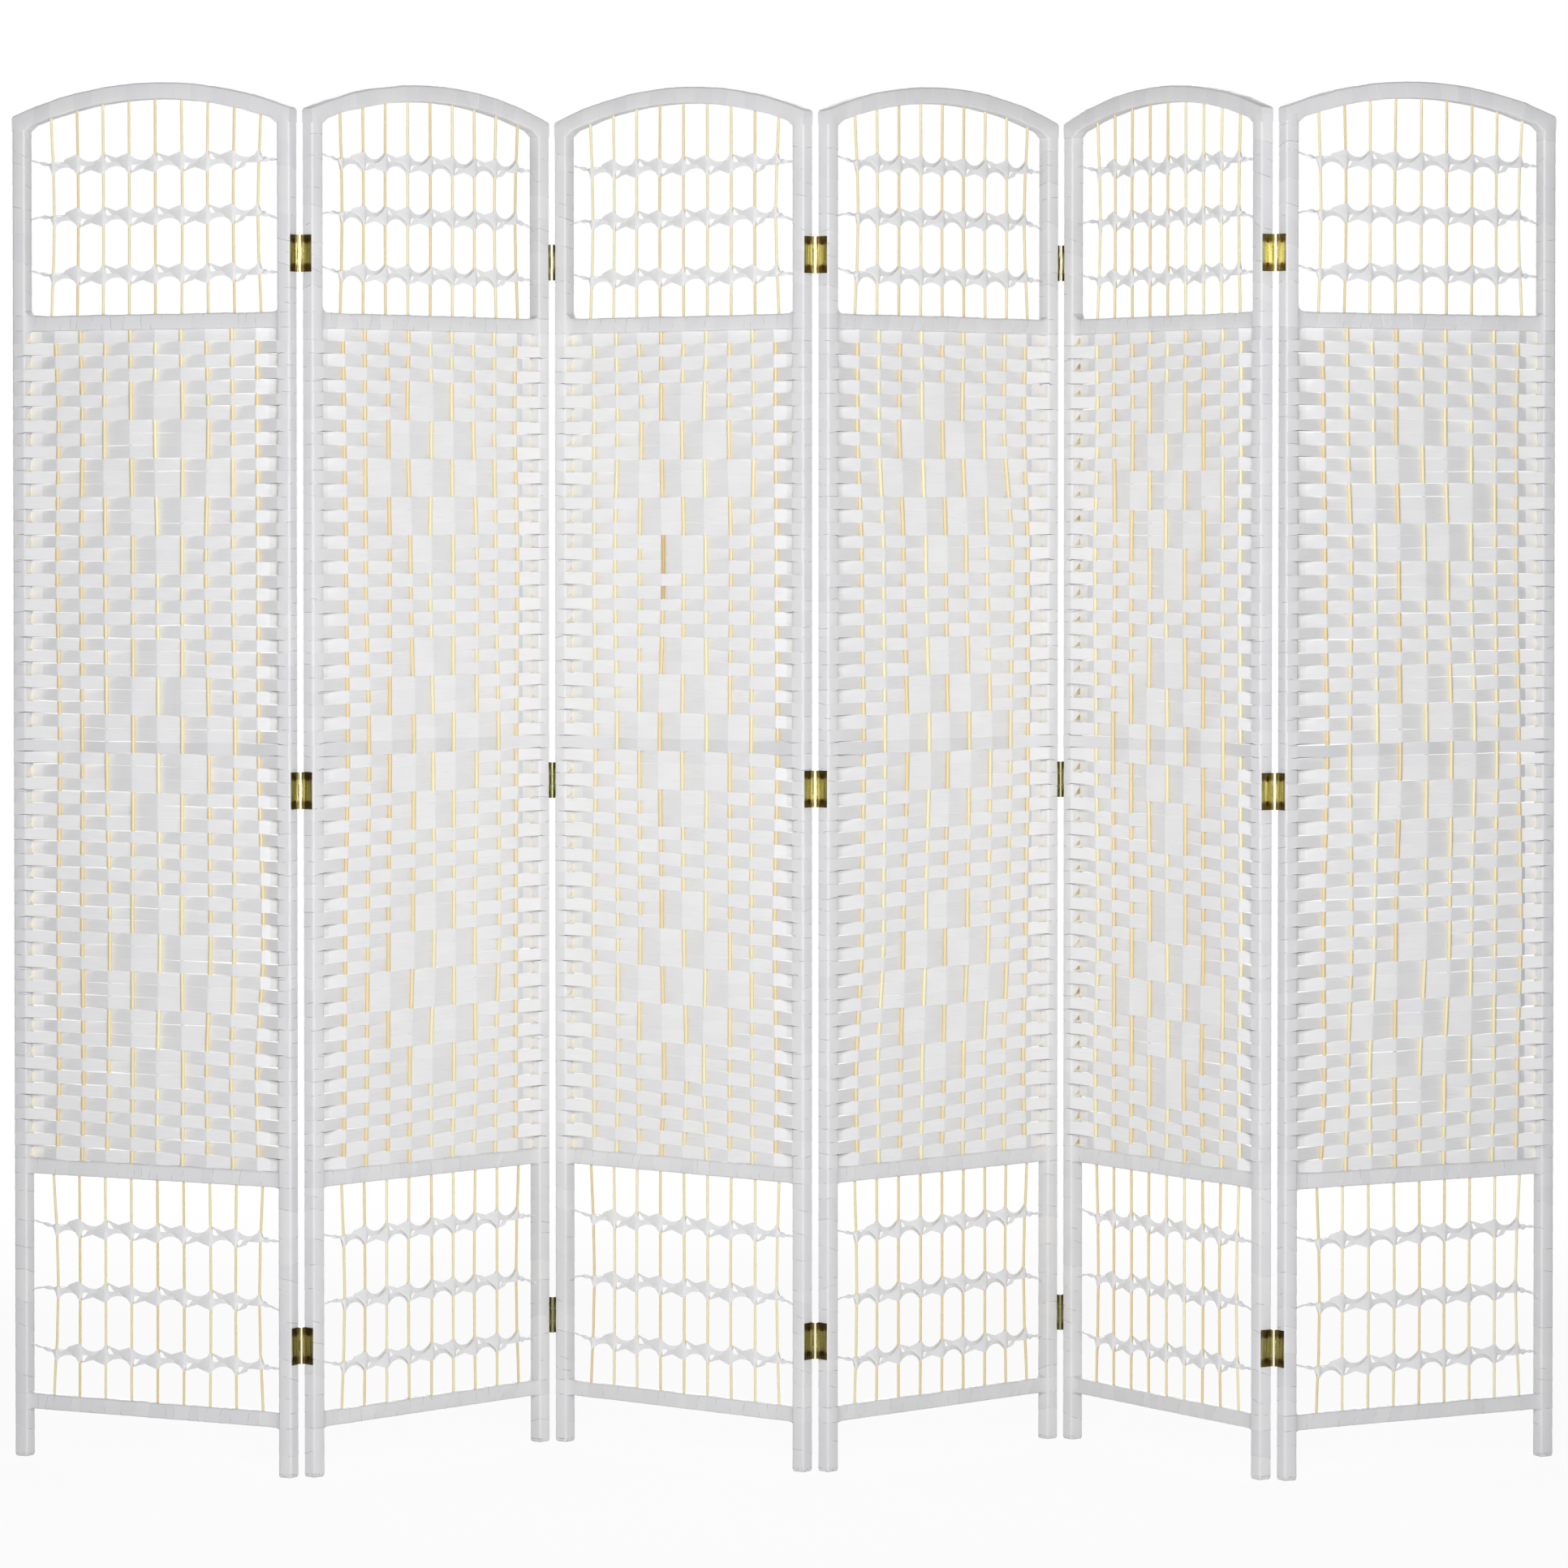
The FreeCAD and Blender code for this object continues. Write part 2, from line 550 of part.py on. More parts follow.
# Hinges. A leaf is made about its own hinge line, with its panel on the -X side and the hinge line
# at the panel's back. Its knuckles count from the bottom: the end ones are on the left leaf.

def knuckle_span(number, grow="0"):
    """Lower and upper end of a knuckle, grown at the ends that meet another knuckle."""
    third = "Sizes.hinge_height / 3"
    lower = f"(-Sizes.hinge_height / 2 + {number} * {third} + Sizes.knuckle_gap / 2 - {grow})"
    upper = f"(-Sizes.hinge_height / 2 + {number + 1} * {third} - Sizes.knuckle_gap / 2 + {grow})"
    if number == 0:
        lower = "(-Sizes.hinge_height / 2)"
    if number == 2:
        upper = "(Sizes.hinge_height / 2)"
    return lower, upper


def make_leaf(name, own, others):
    """A hinge leaf: a plate with its own knuckles, cleared for the other leaf's, bored and countersunk."""
    plate = doc.addObject("Part::Box", name + "_plate")
    plate.setExpression("Length", "Sizes.leaf_thickness")
    plate.setExpression("Width", LEAF_WIDTH)
    plate.setExpression("Height", "Sizes.hinge_height")
    plate.setExpression("Placement.Base.x", "-Sizes.joint_gap / 2")
    plate.setExpression("Placement.Base.y", f"-Sizes.leaf_setback - {LEAF_WIDTH}")
    plate.setExpression("Placement.Base.z", "-Sizes.hinge_height / 2")

    def upright(label, radius, span):
        lower, upper = span
        foot = FreeCAD.Vector(0, 0, value(lower))
        return cylinder(label, radius, f"{upper} - {lower}", foot, Z_AXIS)

    room = "Sizes.barrel_radius + Sizes.barrel_clearance"
    notches = [upright(f"{name}_notch_{n}", room, knuckle_span(n, "Sizes.knuckle_gap")) for n in others]
    notched = cut_away(name + "_notched", plate, notches)
    joined = doc.addObject("Part::MultiFuse", name + "_joined")
    knuckles = [upright(f"{name}_knuckle_{n}", "Sizes.barrel_radius", knuckle_span(n)) for n in own]
    joined.Shapes = [notched, *knuckles]
    whole = ("(-Sizes.hinge_height / 2 - Sizes.overrun)", "(Sizes.hinge_height / 2 + Sizes.overrun)")
    tools = [upright(name + "_bore", "Sizes.pin_radius + Sizes.pin_clearance", whole)]
    for number, level in enumerate(screw_levels()):
        sink = doc.addObject("Part::Cone", f"{name}_countersink_{number}")
        sink.setExpression("Radius1", PILOT_RADIUS)
        sink.setExpression("Radius2", "Sizes.screw_head_radius + Sizes.fit_clearance")
        sink.setExpression("Height", "Sizes.leaf_thickness")
        inner = FreeCAD.Vector(value("-Sizes.joint_gap / 2"), screw_depth(), level)
        sink.Placement = FreeCAD.Placement(inner, FreeCAD.Rotation(Z_AXIS, X_AXIS))
        tools.append(sink)
    return cut_away(name, joined, tools)


def make_screw():
    """A countersunk wood screw with its head on the origin and its tip down."""
    body = doc.addObject("PartDesign::Body", "screw")
    tip = "-(Sizes.screw_length - Sizes.screw_tip_length)"
    profile = outline_sketch(body, "screw_profile", "XZ_Plane", (
        ("0", "0"),
        ("Sizes.screw_head_radius", "0"),
        ("Sizes.screw_shank_radius", "-Sizes.leaf_thickness"),
        ("Sizes.screw_shank_radius", tip),
        ("0", "-Sizes.screw_length"),
    ))
    turned = body.newObject("PartDesign::Revolution", "screw_turned")
    turned.Profile = profile
    turned.ReferenceAxis = (profile, ["V_Axis"])
    doc.recompute()
    across = "2 * (Sizes.screw_head_radius + Sizes.overrun)"
    mark = rectangle_sketch(body, "screw_slot", "XY_Plane", across, "Sizes.screw_slot_width")
    slot = body.newObject("PartDesign::Pocket", "screw_slotted")
    slot.Profile = mark
    slot.setExpression("Length", "Sizes.screw_slot_depth")
    doc.recompute()
    if not slot.Shape.Volume < turned.Shape.Volume:
        raise RuntimeError("the slot of the screw points away from its head")
    return body


def screw_levels():
    """Heights of a leaf's two screws about the middle of the hinge."""
    reach = value("Sizes.hinge_height / 2 - Sizes.screw_inset")
    return (-reach, reach)


def screw_heights():
    """Heights above the floor of all the screws in one stile."""
    return [value(middle) + level for middle in HINGE_HEIGHTS for level in screw_levels()]


def screw_depth():
    """Place of the screws from front to back, counted from the hinge line."""
    return value("-Sizes.pin_offset - Sizes.stile_depth / 2")


# Places of the panels and the hinges

def hinge_is_near(joint):
    """True for the folds that stand towards the front, whose panels fold back to back."""
    return joint % 2 == 1


def hinge_line(joint, side):
    """A fold's hinge line in the frame of the panel on its left (side 1) or on its right (side -1)."""
    across = value("Sizes.panel_width / 2 + Sizes.joint_gap / 2") * side
    depth = value("Sizes.stile_depth / 2 + Sizes.pin_offset")
    return FreeCAD.Vector(across, depth if hinge_is_near(joint) else -depth, 0)


def panel_placements():
    """Each panel's placement: turned as the screen stands, and set at the hinge line of the one before."""
    turns = [FreeCAD.Rotation(Z_AXIS, value(f"Sizes.panel_{panel}_turn")) for panel in PANELS]
    middles = [FreeCAD.Vector(0, 0, 0)]
    for joint in PANELS[:-1]:
        pin = middles[-1] + turns[joint - 1].multVec(hinge_line(joint, 1))
        middles.append(pin - turns[joint].multVec(hinge_line(joint, -1)))
    rounding = value("Sizes.edge_rounding")
    wide, deep = value("Sizes.panel_width / 2") - rounding, value("Sizes.stile_depth / 2") - rounding
    corners = [FreeCAD.Vector(x, y, 0) for x in (-wide, wide) for y in (-deep, deep)]
    spread = [middle + turn.multVec(corner) for middle, turn in zip(middles, turns) for corner in corners]
    centre = FreeCAD.Vector(
        (min(point.x for point in spread) + max(point.x for point in spread)) / 2,
        (min(point.y for point in spread) + max(point.y for point in spread)) / 2,
        0,
    )
    return [FreeCAD.Placement(middle - centre, turn) for middle, turn in zip(middles, turns)]


def add_node(label, pieces, placement):
    """A named sub-part: copies of made pieces, each with its place in the panel, set in the panel's place."""
    copies = []
    for made, place in pieces:
        for solid in made.Shape.Solids:
            copy = solid.copy()
            copy.Placement = place.multiply(copy.Placement)
            copies.append(copy)
    node = doc.addObject("Part::Feature", label)
    node.Label = label
    node.Shape = Part.makeCompound(copies)
    node.Placement = placement
    return node


HERE = FreeCAD.Placement()
HALF_TURN = FreeCAD.Rotation(Z_AXIS, 180)


def leaf_turn(joint, side):
    """How a leaf is turned in its panel's frame, for the left leaf (side 1) or the right one (side -1)."""
    if hinge_is_near(joint):
        return FreeCAD.Rotation() if side == 1 else FreeCAD.Rotation(Y_AXIS, 180)
    return FreeCAD.Rotation(X_AXIS, 180) if side == 1 else HALF_TURN


def hinge_places(joint, side):
    """Places of the three hinges of a fold, in the frame of the panel on the given side of it."""
    line = hinge_line(joint, side)
    turn = leaf_turn(joint, side)
    return [FreeCAD.Placement(line + Z_AXIS * value(height), turn) for height in HINGE_HEIGHTS]


def screw_places(side):
    """Places of the screws in one edge of a panel, heads outwards, in the panel's frame."""
    outward = X_AXIS * side
    across = value("Sizes.panel_width / 2 + Sizes.leaf_thickness") * side
    turn = FreeCAD.Rotation(Z_AXIS, outward)
    return [FreeCAD.Placement(FreeCAD.Vector(across, 0, height), turn) for height in screw_heights()]


hinged_stile = make_stile("hinged_stile", True)
free_stile = make_stile("free_stile", False)
arch = make_arch()
rails = [
    make_rail("upper_rail", RAIL_HEIGHTS[0], "Sizes.open_reed_radius", "Sizes.woven_reed_radius"),
    make_rail("lower_rail", RAIL_HEIGHTS[1], "Sizes.woven_reed_radius", "Sizes.open_reed_radius"),
    make_rail("bottom_rail", RAIL_HEIGHTS[2], "Sizes.open_reed_radius"),
]
reeds = make_reeds()
weft_rows = [row for row in range(WEFT_ROWS) if row != SLAT_ROW]
strip_thickness, slat_thickness = value("Sizes.strip_thickness"), value("Sizes.slat_thickness")
wefts, slats = {}, {}
for shift in sorted(set(PATTERN_SHIFTS)):
    wefts[shift] = make_strips(f"weft_{shift}", weft_rows, shift, strip_thickness, ends_in_front=False)
    slats[shift] = make_strips(f"slat_{shift}", [SLAT_ROW], shift, slat_thickness, ends_in_front=True)
ties = make_ties()
left_leaf = make_leaf("left_leaf", own=(0, 2), others=(1,))
right_leaf = make_leaf("right_leaf", own=(1,), others=(0, 2))
pin = cylinder(
    "pin",
    "Sizes.pin_radius",
    "Sizes.hinge_height",
    FreeCAD.Vector(0, 0, value("-Sizes.hinge_height / 2")),
    Z_AXIS,
)
screw = make_screw()
doc.recompute()

stile_place = value("(Sizes.panel_width - Sizes.stile_width) / 2")
left_stile_place = FreeCAD.Placement(FreeCAD.Vector(-stile_place, 0, 0), HALF_TURN)
right_stile_place = FreeCAD.Placement(FreeCAD.Vector(stile_place, 0, 0), FreeCAD.Rotation())
placements = panel_placements()
nodes = []
for panel, placement in zip(PANELS, placements):
    name = f"panel_{panel}"
    shift = PATTERN_SHIFTS[panel - 1]
    left_edge_free, right_edge_free = panel == PANELS[0], panel == PANELS[-1]
    left_stile = free_stile if left_edge_free else hinged_stile
    right_stile = free_stile if right_edge_free else hinged_stile
    stiles = [(left_stile, left_stile_place), (right_stile, right_stile_place)]
    nodes.append(add_node(f"{name}_stiles", stiles, placement))
    nodes.append(add_node(f"{name}_top_arch", [(arch, HERE)], placement))
    crossing = [(piece, HERE) for piece in (*rails, slats[shift])]
    nodes.append(add_node(f"{name}_cross_rails", crossing, placement))
    nodes.append(add_node(f"{name}_reeds", [(reed, HERE) for reed in reeds], placement))
    nodes.append(add_node(f"{name}_weft_strips", [(wefts[shift], HERE)], placement))
    nodes.append(add_node(f"{name}_lattice_ties", [(ties, HERE)], placement))
    places = ([] if left_edge_free else screw_places(-1)) + ([] if right_edge_free else screw_places(1))
    nodes.append(add_node(f"{name}_hinge_screws", [(screw, place) for place in places], placement))
for joint in PANELS[:-1]:
    name = f"hinge_{joint}_{joint + 1}"
    before, after = placements[joint - 1], placements[joint]
    left_places, right_places = hinge_places(joint, 1), hinge_places(joint, -1)
    nodes.append(add_node(f"{name}_left_leaves", [(left_leaf, place) for place in left_places], before))
    nodes.append(add_node(f"{name}_right_leaves", [(right_leaf, place) for place in right_places], after))
    nodes.append(add_node(f"{name}_pins", [(pin, place) for place in left_places], before))

doc.recompute()
for item in doc.Objects:
    if "Invalid" in item.State or "Error" in item.State:
        raise RuntimeError(f"{item.Label} failed: {item.State}")
for node in nodes:
    if node.Shape.isNull() or not node.Shape.isValid():
        raise RuntimeError(f"{node.Label} has no valid shape")

os.makedirs("parts", exist_ok=True)
for node in nodes:
    node.Shape.exportStep(f"parts/{node.Label}.step")
    print(node.Label, len(node.Shape.Solids), "solids,", round(node.Shape.Volume), "mm3")
for joint in PANELS[:-1]:
    line = placements[joint - 1].multVec(hinge_line(joint, 1))
    print(f"fold {joint}-{joint + 1} hinge line at", round(line.x, 5), round(line.y, 5))
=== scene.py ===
"""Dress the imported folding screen: six arched panels of paper-wound bars, reeds, woven strips and brass hinges."""

import json
import logging
import math
from dataclasses import dataclass, field
from enum import Enum

import bpy
import numpy as np
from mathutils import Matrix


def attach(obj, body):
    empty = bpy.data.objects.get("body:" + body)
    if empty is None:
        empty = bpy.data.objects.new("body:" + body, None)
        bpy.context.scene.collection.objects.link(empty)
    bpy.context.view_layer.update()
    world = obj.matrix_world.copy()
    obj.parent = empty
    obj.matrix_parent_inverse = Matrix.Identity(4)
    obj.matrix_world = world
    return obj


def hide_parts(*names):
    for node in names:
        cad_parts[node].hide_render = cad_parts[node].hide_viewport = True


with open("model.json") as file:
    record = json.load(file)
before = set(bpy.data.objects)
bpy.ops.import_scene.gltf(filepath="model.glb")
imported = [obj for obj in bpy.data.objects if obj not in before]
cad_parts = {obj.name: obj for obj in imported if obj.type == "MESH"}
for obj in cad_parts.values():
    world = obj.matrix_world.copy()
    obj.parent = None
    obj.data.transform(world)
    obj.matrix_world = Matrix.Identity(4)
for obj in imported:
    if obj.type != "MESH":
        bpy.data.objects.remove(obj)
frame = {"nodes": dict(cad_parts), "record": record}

LOG = logging.getLogger("folding_screen")
MM = 0.001
SEED = 4190
MEASURE = "strip_measure"
TONE = "tone"
END = "end_lap"
PAPER_IOR = 1.5
WHITE = "#FFFFFF"


class Slot(Enum):
    """Material slots of the record that the new pieces take their finish from."""

    WRAP = "paper_wrap"
    STRIP = "paper_strip"
    REED = "reed"


class Run(Enum):
    """The way a bar runs in its panel: upright along z, or across along x."""

    UPRIGHT = "upright"
    ACROSS = "across"


class Field(Enum):
    """Where a reed stands: in the open foot, in the weave, or in the open head."""

    FOOT = "foot"
    WEAVE = "weave"
    HEAD = "head"


def linear(code: str) -> tuple[float, float, float, float]:
    """Turn an sRGB hex colour into linear light.

    Args:
        code: colour written as #RRGGBB.

    Returns:
        Red, green, blue and a full alpha, from 0 to 1.
    """
    parts = np.array([int(code[i:i + 2], 16) for i in (1, 3, 5)]) / 255.0
    light = np.where(parts <= 0.04045, parts / 12.92, ((parts + 0.055) / 1.055) ** 2.4)
    return (float(light[0]), float(light[1]), float(light[2]), 1.0)


def add_node(tree: bpy.types.NodeTree, kind: str, sockets: dict | tuple = (),
             **settings: object) -> bpy.types.Node:
    """Add one shader node, set its properties, and fill or link its sockets.

    Args:
        tree: node tree that takes the node.
        kind: Blender's type name of the node, without ShaderNode before it.
        sockets: by name or place, or in the order of the node's own sockets, a value, an output socket, or another
            node for its first output in use.
        settings: properties of the node itself.

    Returns:
        The new node.
    """
    made = tree.nodes.new(f"ShaderNode{kind}")
    for key, value in settings.items():
        setattr(made, key, value)
    for key, value in sockets.items() if isinstance(sockets, dict) else enumerate(sockets):
        if isinstance(value, bpy.types.Node):
            value = next(output for output in value.outputs if output.enabled)
        if isinstance(value, bpy.types.NodeSocket):
            tree.links.new(value, made.inputs[key])
        else:
            made.inputs[key].default_value = value
    return made


def cleared_tree(owner: bpy.types.Material | bpy.types.World) -> bpy.types.NodeTree:
    """Give a material or a world an empty node tree.

    Args:
        owner: the new material or world.

    Returns:
        Its node tree.
    """
    owner.use_nodes = True
    owner.node_tree.nodes.clear()
    return owner.node_tree


def ease(share: np.ndarray) -> np.ndarray:
    """Smoothstep: level at 0 and 1, steepest in the middle."""
    share = np.clip(share, 0.0, 1.0)
    return share * share * (3.0 - 2.0 * share)


def between_knots(knots: np.ndarray, shares: tuple[float, ...]) -> np.ndarray:
    """Fill in values between knots: each span goes from knot to knot by a straight line.

    Args:
        knots: values at the knots, one row per line.
        shares: stations within each span, from 0 up to under 1.

    Returns:
        One row per line, with a value a station of each span and the last knot.
    """
    spans = knots[:, :-1, None] + np.diff(knots, axis=1)[:, :, None] * np.array(shares)
    return np.concatenate([spans.reshape(len(knots), -1), knots[:, -1:]], axis=1)


def grid_of(*parts: np.ndarray) -> np.ndarray:
    """Spread coordinates over one grid and stack them on a last axis."""
    return np.stack(np.broadcast_arrays(*parts), axis=-1)


@dataclass(frozen=True)
class PanelPlace:
    """Where one panel stands in the row: the middle of its width and its turn about the vertical."""

    number: int
    middle: tuple[float, float]
    turn: float

    @property
    def body(self) -> str:
        """The CAD body that the panel's pieces ride on."""
        return f"panel_{self.number}"

    def to_row(self, points: np.ndarray) -> np.ndarray:
        """Turn the panel's own millimetres into the row's metres.

        Args:
            points: x, y and z in the panel's frame, in mm.

        Returns:
            x, y and z in the row frame, in m.
        """
        c, s = math.cos(self.turn), math.sin(self.turn)
        x = self.middle[0] + c * points[:, 0] - s * points[:, 1]
        y = self.middle[1] + s * points[:, 0] + c * points[:, 1]
        return np.stack([x, y, points[:, 2]], axis=1) * MM


@dataclass(frozen=True)
class PanelSizes:
    """Sizes in mm that every panel shares with the CAD part."""

    panel_width: float = 400.0
    overall_height: float = 1700.0
    stile_width: float = 18.0
    stile_depth: float = 18.0
    edge_rounding: float = 2.5
    arch_rise: float = 36.0
    arch_depth: float = 20.0
    rail_height: float = 18.5
    rail_depth: float = 14.0
    rail_undersides: tuple[float, float, float] = (60.0, 353.0, 1398.0)
    weave_rows: int = 65
    reed_count: int = 9
    open_reed_radius: float = 1.6
    woven_reed_radius: float = 2.3
    weave_clearance: float = 0.25
    wrap_clearance: float = 0.2
    joint_gap: float = 5.4
    pin_offset: float = 1.7

    @property
    def half_width(self) -> float:
        """Half of the panel's width."""
        return self.panel_width / 2

    @property
    def half_opening(self) -> float:
        """Half of the clear width between the stiles."""
        return self.half_width - self.stile_width

    @property
    def arch_radius(self) -> float:
        """Radius of the arch's crown line, from its chord and its rise."""
        return (self.half_width ** 2 + self.arch_rise ** 2) / (2 * self.arch_rise)

    def crown(self, x: np.ndarray, inset: float = 0.0) -> np.ndarray:
        """Height of the arch's arc, set in from the crown line, at x from the panel's middle."""
        radius = self.arch_radius - inset
        return self.overall_height - self.arch_radius + np.sqrt(radius ** 2 - np.asarray(x) ** 2)

    @property
    def seat(self) -> float:
        """Height at which the arch sits on the stiles."""
        return float(self.crown(self.half_opening, self.arch_depth))

    @property
    def reed_lines(self) -> np.ndarray:
        """Places of the reeds across the opening, evenly spread."""
        shares = np.arange(1, self.reed_count + 1) / (self.reed_count + 1)
        return (2 * shares - 1) * self.half_opening

    def field_span(self, where: Field) -> tuple[float, float]:
        """Find the levels that a field lies between, from rail to rail or from the upper rail to the arch's seat.

        Args:
            where: the field.

        Returns:
            Its lowest and highest level.
        """
        tops = [u + self.rail_height for u in self.rail_undersides]
        spans = {
            Field.FOOT: (tops[0], self.rail_undersides[1]),
            Field.WEAVE: (tops[1], self.rail_undersides[2]),
            Field.HEAD: (tops[2], self.seat),
        }
        return spans[where]


SIZES = PanelSizes()


@dataclass(frozen=True)
class Handwork:
    """How one panel was woven: rows before its first diamond, slack of its slits, spread of its open reeds.

    The stile tones are painted light and shade on the paper of the left and right stile beside the weave: lighter in
    the rear folds, where light bounces between the panels, and darker towards the ends of the row. Aged says how dark
    its bare wood is, and stained gives a reed's number and the heights in mm between which it is brown. The weave bow
    is how far in mm the woven reeds are drawn to the right at mid height.
    """

    late_rows: int = 0
    slack: float = 0.3
    open_spread: float = 1.04
    # Painted light and shade on the stiles' paper beside the weave, a value for the left and the right stile.
    stile_painted_light: tuple[float, float] = (0.0, 0.0)
    aged: float = 0.3
    stained: tuple[int, float, float] = (0, 0.0, 0.0)
    weave_bow: float = 0.0


HANDWORK = (
    Handwork(slack=1.0, stile_painted_light=(-0.8, 0.0), weave_bow=3.0),
    Handwork(slack=0.4, open_spread=1.03, stile_painted_light=(0.0, 0.9), weave_bow=6.0),
    Handwork(stile_painted_light=(0.9, 0.0), stained=(4, 1060.0, 1150.0)),
    Handwork(open_spread=1.03, stile_painted_light=(0.0, 0.9), weave_bow=11.0),
    Handwork(late_rows=1, slack=0.6, open_spread=0.99, stile_painted_light=(0.4, -0.3), aged=1.0),
    Handwork(late_rows=2, slack=1.0, stile_painted_light=(-1.0, -0.8), weave_bow=8.0),
)


def panel_places(record: dict) -> list[PanelPlace]:
    """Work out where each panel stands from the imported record's hinge lines and end mounts.

    A panel between two hinges turns by the angle between the line through its hinge lines and the same
    line in its own frame. The two end panels take their turn from the axis of the mount on their free edge.

    Args:
        record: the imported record.

    Returns:
        The panels' places, from left to right.
    """
    pins = {int(j["name"].split("_")[1]): np.array(j["pos_m"][:2]) / MM for j in record["behaviour"]["joints"]}
    ends = {m["name"]: np.array(m["axis"][:2]) for m in record["mounts"] if m["name"].endswith("end_edge")}
    reach = SIZES.half_width + SIZES.joint_gap / 2
    offset = SIZES.stile_depth / 2 + SIZES.pin_offset
    count = len(pins) + 1
    places = []
    for number in range(1, count + 1):
        left = np.array([-reach, offset if (number - 1) % 2 else -offset])
        right = np.array([reach, offset if number % 2 else -offset])
        if number == 1:
            turn = math.atan2(-ends["left_end_edge"][1], -ends["left_end_edge"][0])
            own, pin = right, pins[1]
        elif number == count:
            turn = math.atan2(ends["right_end_edge"][1], ends["right_end_edge"][0])
            own, pin = left, pins[count - 1]
        else:
            run = pins[number] - pins[number - 1]
            own_run = right - left
            turn = math.atan2(run[1], run[0]) - math.atan2(own_run[1], own_run[0])
            own, pin = left, pins[number - 1]
        c, s = math.cos(turn), math.sin(turn)
        middle = pin - np.array([c * own[0] - s * own[1], s * own[0] + c * own[1]])
        places.append(PanelPlace(number, (float(middle[0]), float(middle[1])), turn))
    return places


class Surface:
    """Closed tubes gathered into one mesh, each point with a measure along and across its strip and a tone."""

    def __init__(self) -> None:
        """Start with no points."""
        self._points: list[np.ndarray] = []
        self._quads: list[np.ndarray] = []
        self._measures: list[np.ndarray] = []
        self._tones: list[np.ndarray] = []
        self._laps: list[np.ndarray] = []
        self._count = 0

    def add_tubes(self, points: np.ndarray, measure: np.ndarray, tone: np.ndarray,
                  lap: np.ndarray | float = 0.0) -> None:
        """Add closed tubes: rings of points joined into quads, with both ends capped by quads across the ring.

        A tube whose volume comes out negative has its faces turned round, so all faces point outwards.

        Args:
            points: places in mm, as tubes by steps by ring by 3.
            measure: mm along and across, as tubes by steps by ring plus one by 2; the last closes the ring.
            tone: a share from 0 to 1, which spreads to tubes by steps by ring.
            lap: how far a strip's end lies over (above 0) or behind (below 0) a stile, which spreads likewise. On a
                wound bar it is the strength of the painted lap shadow.
        """
        tubes, steps, ring, _ = points.shape
        index = np.arange(tubes * steps * ring).reshape(tubes, steps, ring)
        closed = np.concatenate([index, index[:, :, :1]], axis=2)
        low = np.arange(ring // 2 - 1)
        across = np.stack([low, low + 1, ring - 2 - low, ring - 1 - low], axis=1)

        def walls(grid: np.ndarray) -> np.ndarray:
            """Four corners of each quad of the walls."""
            corners = [grid[:, :-1, :-1], grid[:, 1:, :-1], grid[:, 1:, 1:], grid[:, :-1, 1:]]
            return np.stack(corners, axis=3).reshape(tubes, -1, 4, *grid.shape[3:])

        def caps(grid: np.ndarray) -> np.ndarray:
            """Four corners of each quad of the two end caps."""
            both = [grid[:, 0][:, across], grid[:, -1][:, across[:, ::-1]]]
            return np.concatenate(both, axis=1)

        quads = np.concatenate([walls(closed), caps(closed)], axis=1)
        corners = np.concatenate([walls(measure), caps(measure)], axis=1)
        flat = points.reshape(-1, 3)
        own = flat[quads] - points.mean(axis=(1, 2))[:, None, None, :]
        a, b, c, d = (own[:, :, i] for i in range(4))
        volume = np.einsum("tqi,tqi->t", a, np.cross(b, c)) + np.einsum("tqi,tqi->t", a, np.cross(c, d))
        inside_out = volume < 0
        quads[inside_out] = quads[inside_out][:, :, ::-1]
        corners[inside_out] = corners[inside_out][:, :, ::-1]
        self._points.append(flat)
        self._quads.append(quads.reshape(-1, 4) + self._count)
        self._measures.append(corners.reshape(-1, 2))
        self._tones.append(np.broadcast_to(tone, (tubes, steps, ring)).reshape(-1))
        self._laps.append(np.broadcast_to(lap, (tubes, steps, ring)).reshape(-1))
        self._count += len(flat)

    def to_piece(self, part: str, place: PanelPlace, material: bpy.types.Material, node: str = "",
                 sharp_angle: float = 38.0) -> bpy.types.Object:
        """Make the mesh, dress it, and let it ride on its panel in place of its CAD node.

        Args:
            part: the piece's name, without its panel's before it.
            place: the panel that it belongs to.
            material: its finish.
            node: the CAD node that it stands for, named likewise, or nothing.
            sharp_angle: edges that turn by more than this many degrees stay crisp.

        Returns:
            The new object.
        """
        name = f"{place.body}_{part}"
        points = place.to_row(np.concatenate(self._points))
        quads = np.concatenate(self._quads)
        mesh = bpy.data.meshes.new(name)
        mesh.from_pydata(points, [], quads)
        layer = mesh.uv_layers.new(name=MEASURE)
        layer.data.foreach_set("uv", np.concatenate(self._measures).astype(np.float32).ravel())
        for label, values in ((TONE, self._tones), (END, self._laps)):
            attribute = mesh.attributes.new(label, "FLOAT", "POINT")
            attribute.data.foreach_set("value", np.concatenate(values).astype(np.float32))
        mesh.shade_smooth()
        mesh.set_sharp_from_angle(angle=math.radians(sharp_angle))
        mesh.materials.append(material)
        piece = bpy.data.objects.new(name, mesh)
        bpy.context.scene.collection.objects.link(piece)
        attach(piece, place.body)
        if node:
            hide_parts(f"{place.body}_{node}")
        return piece


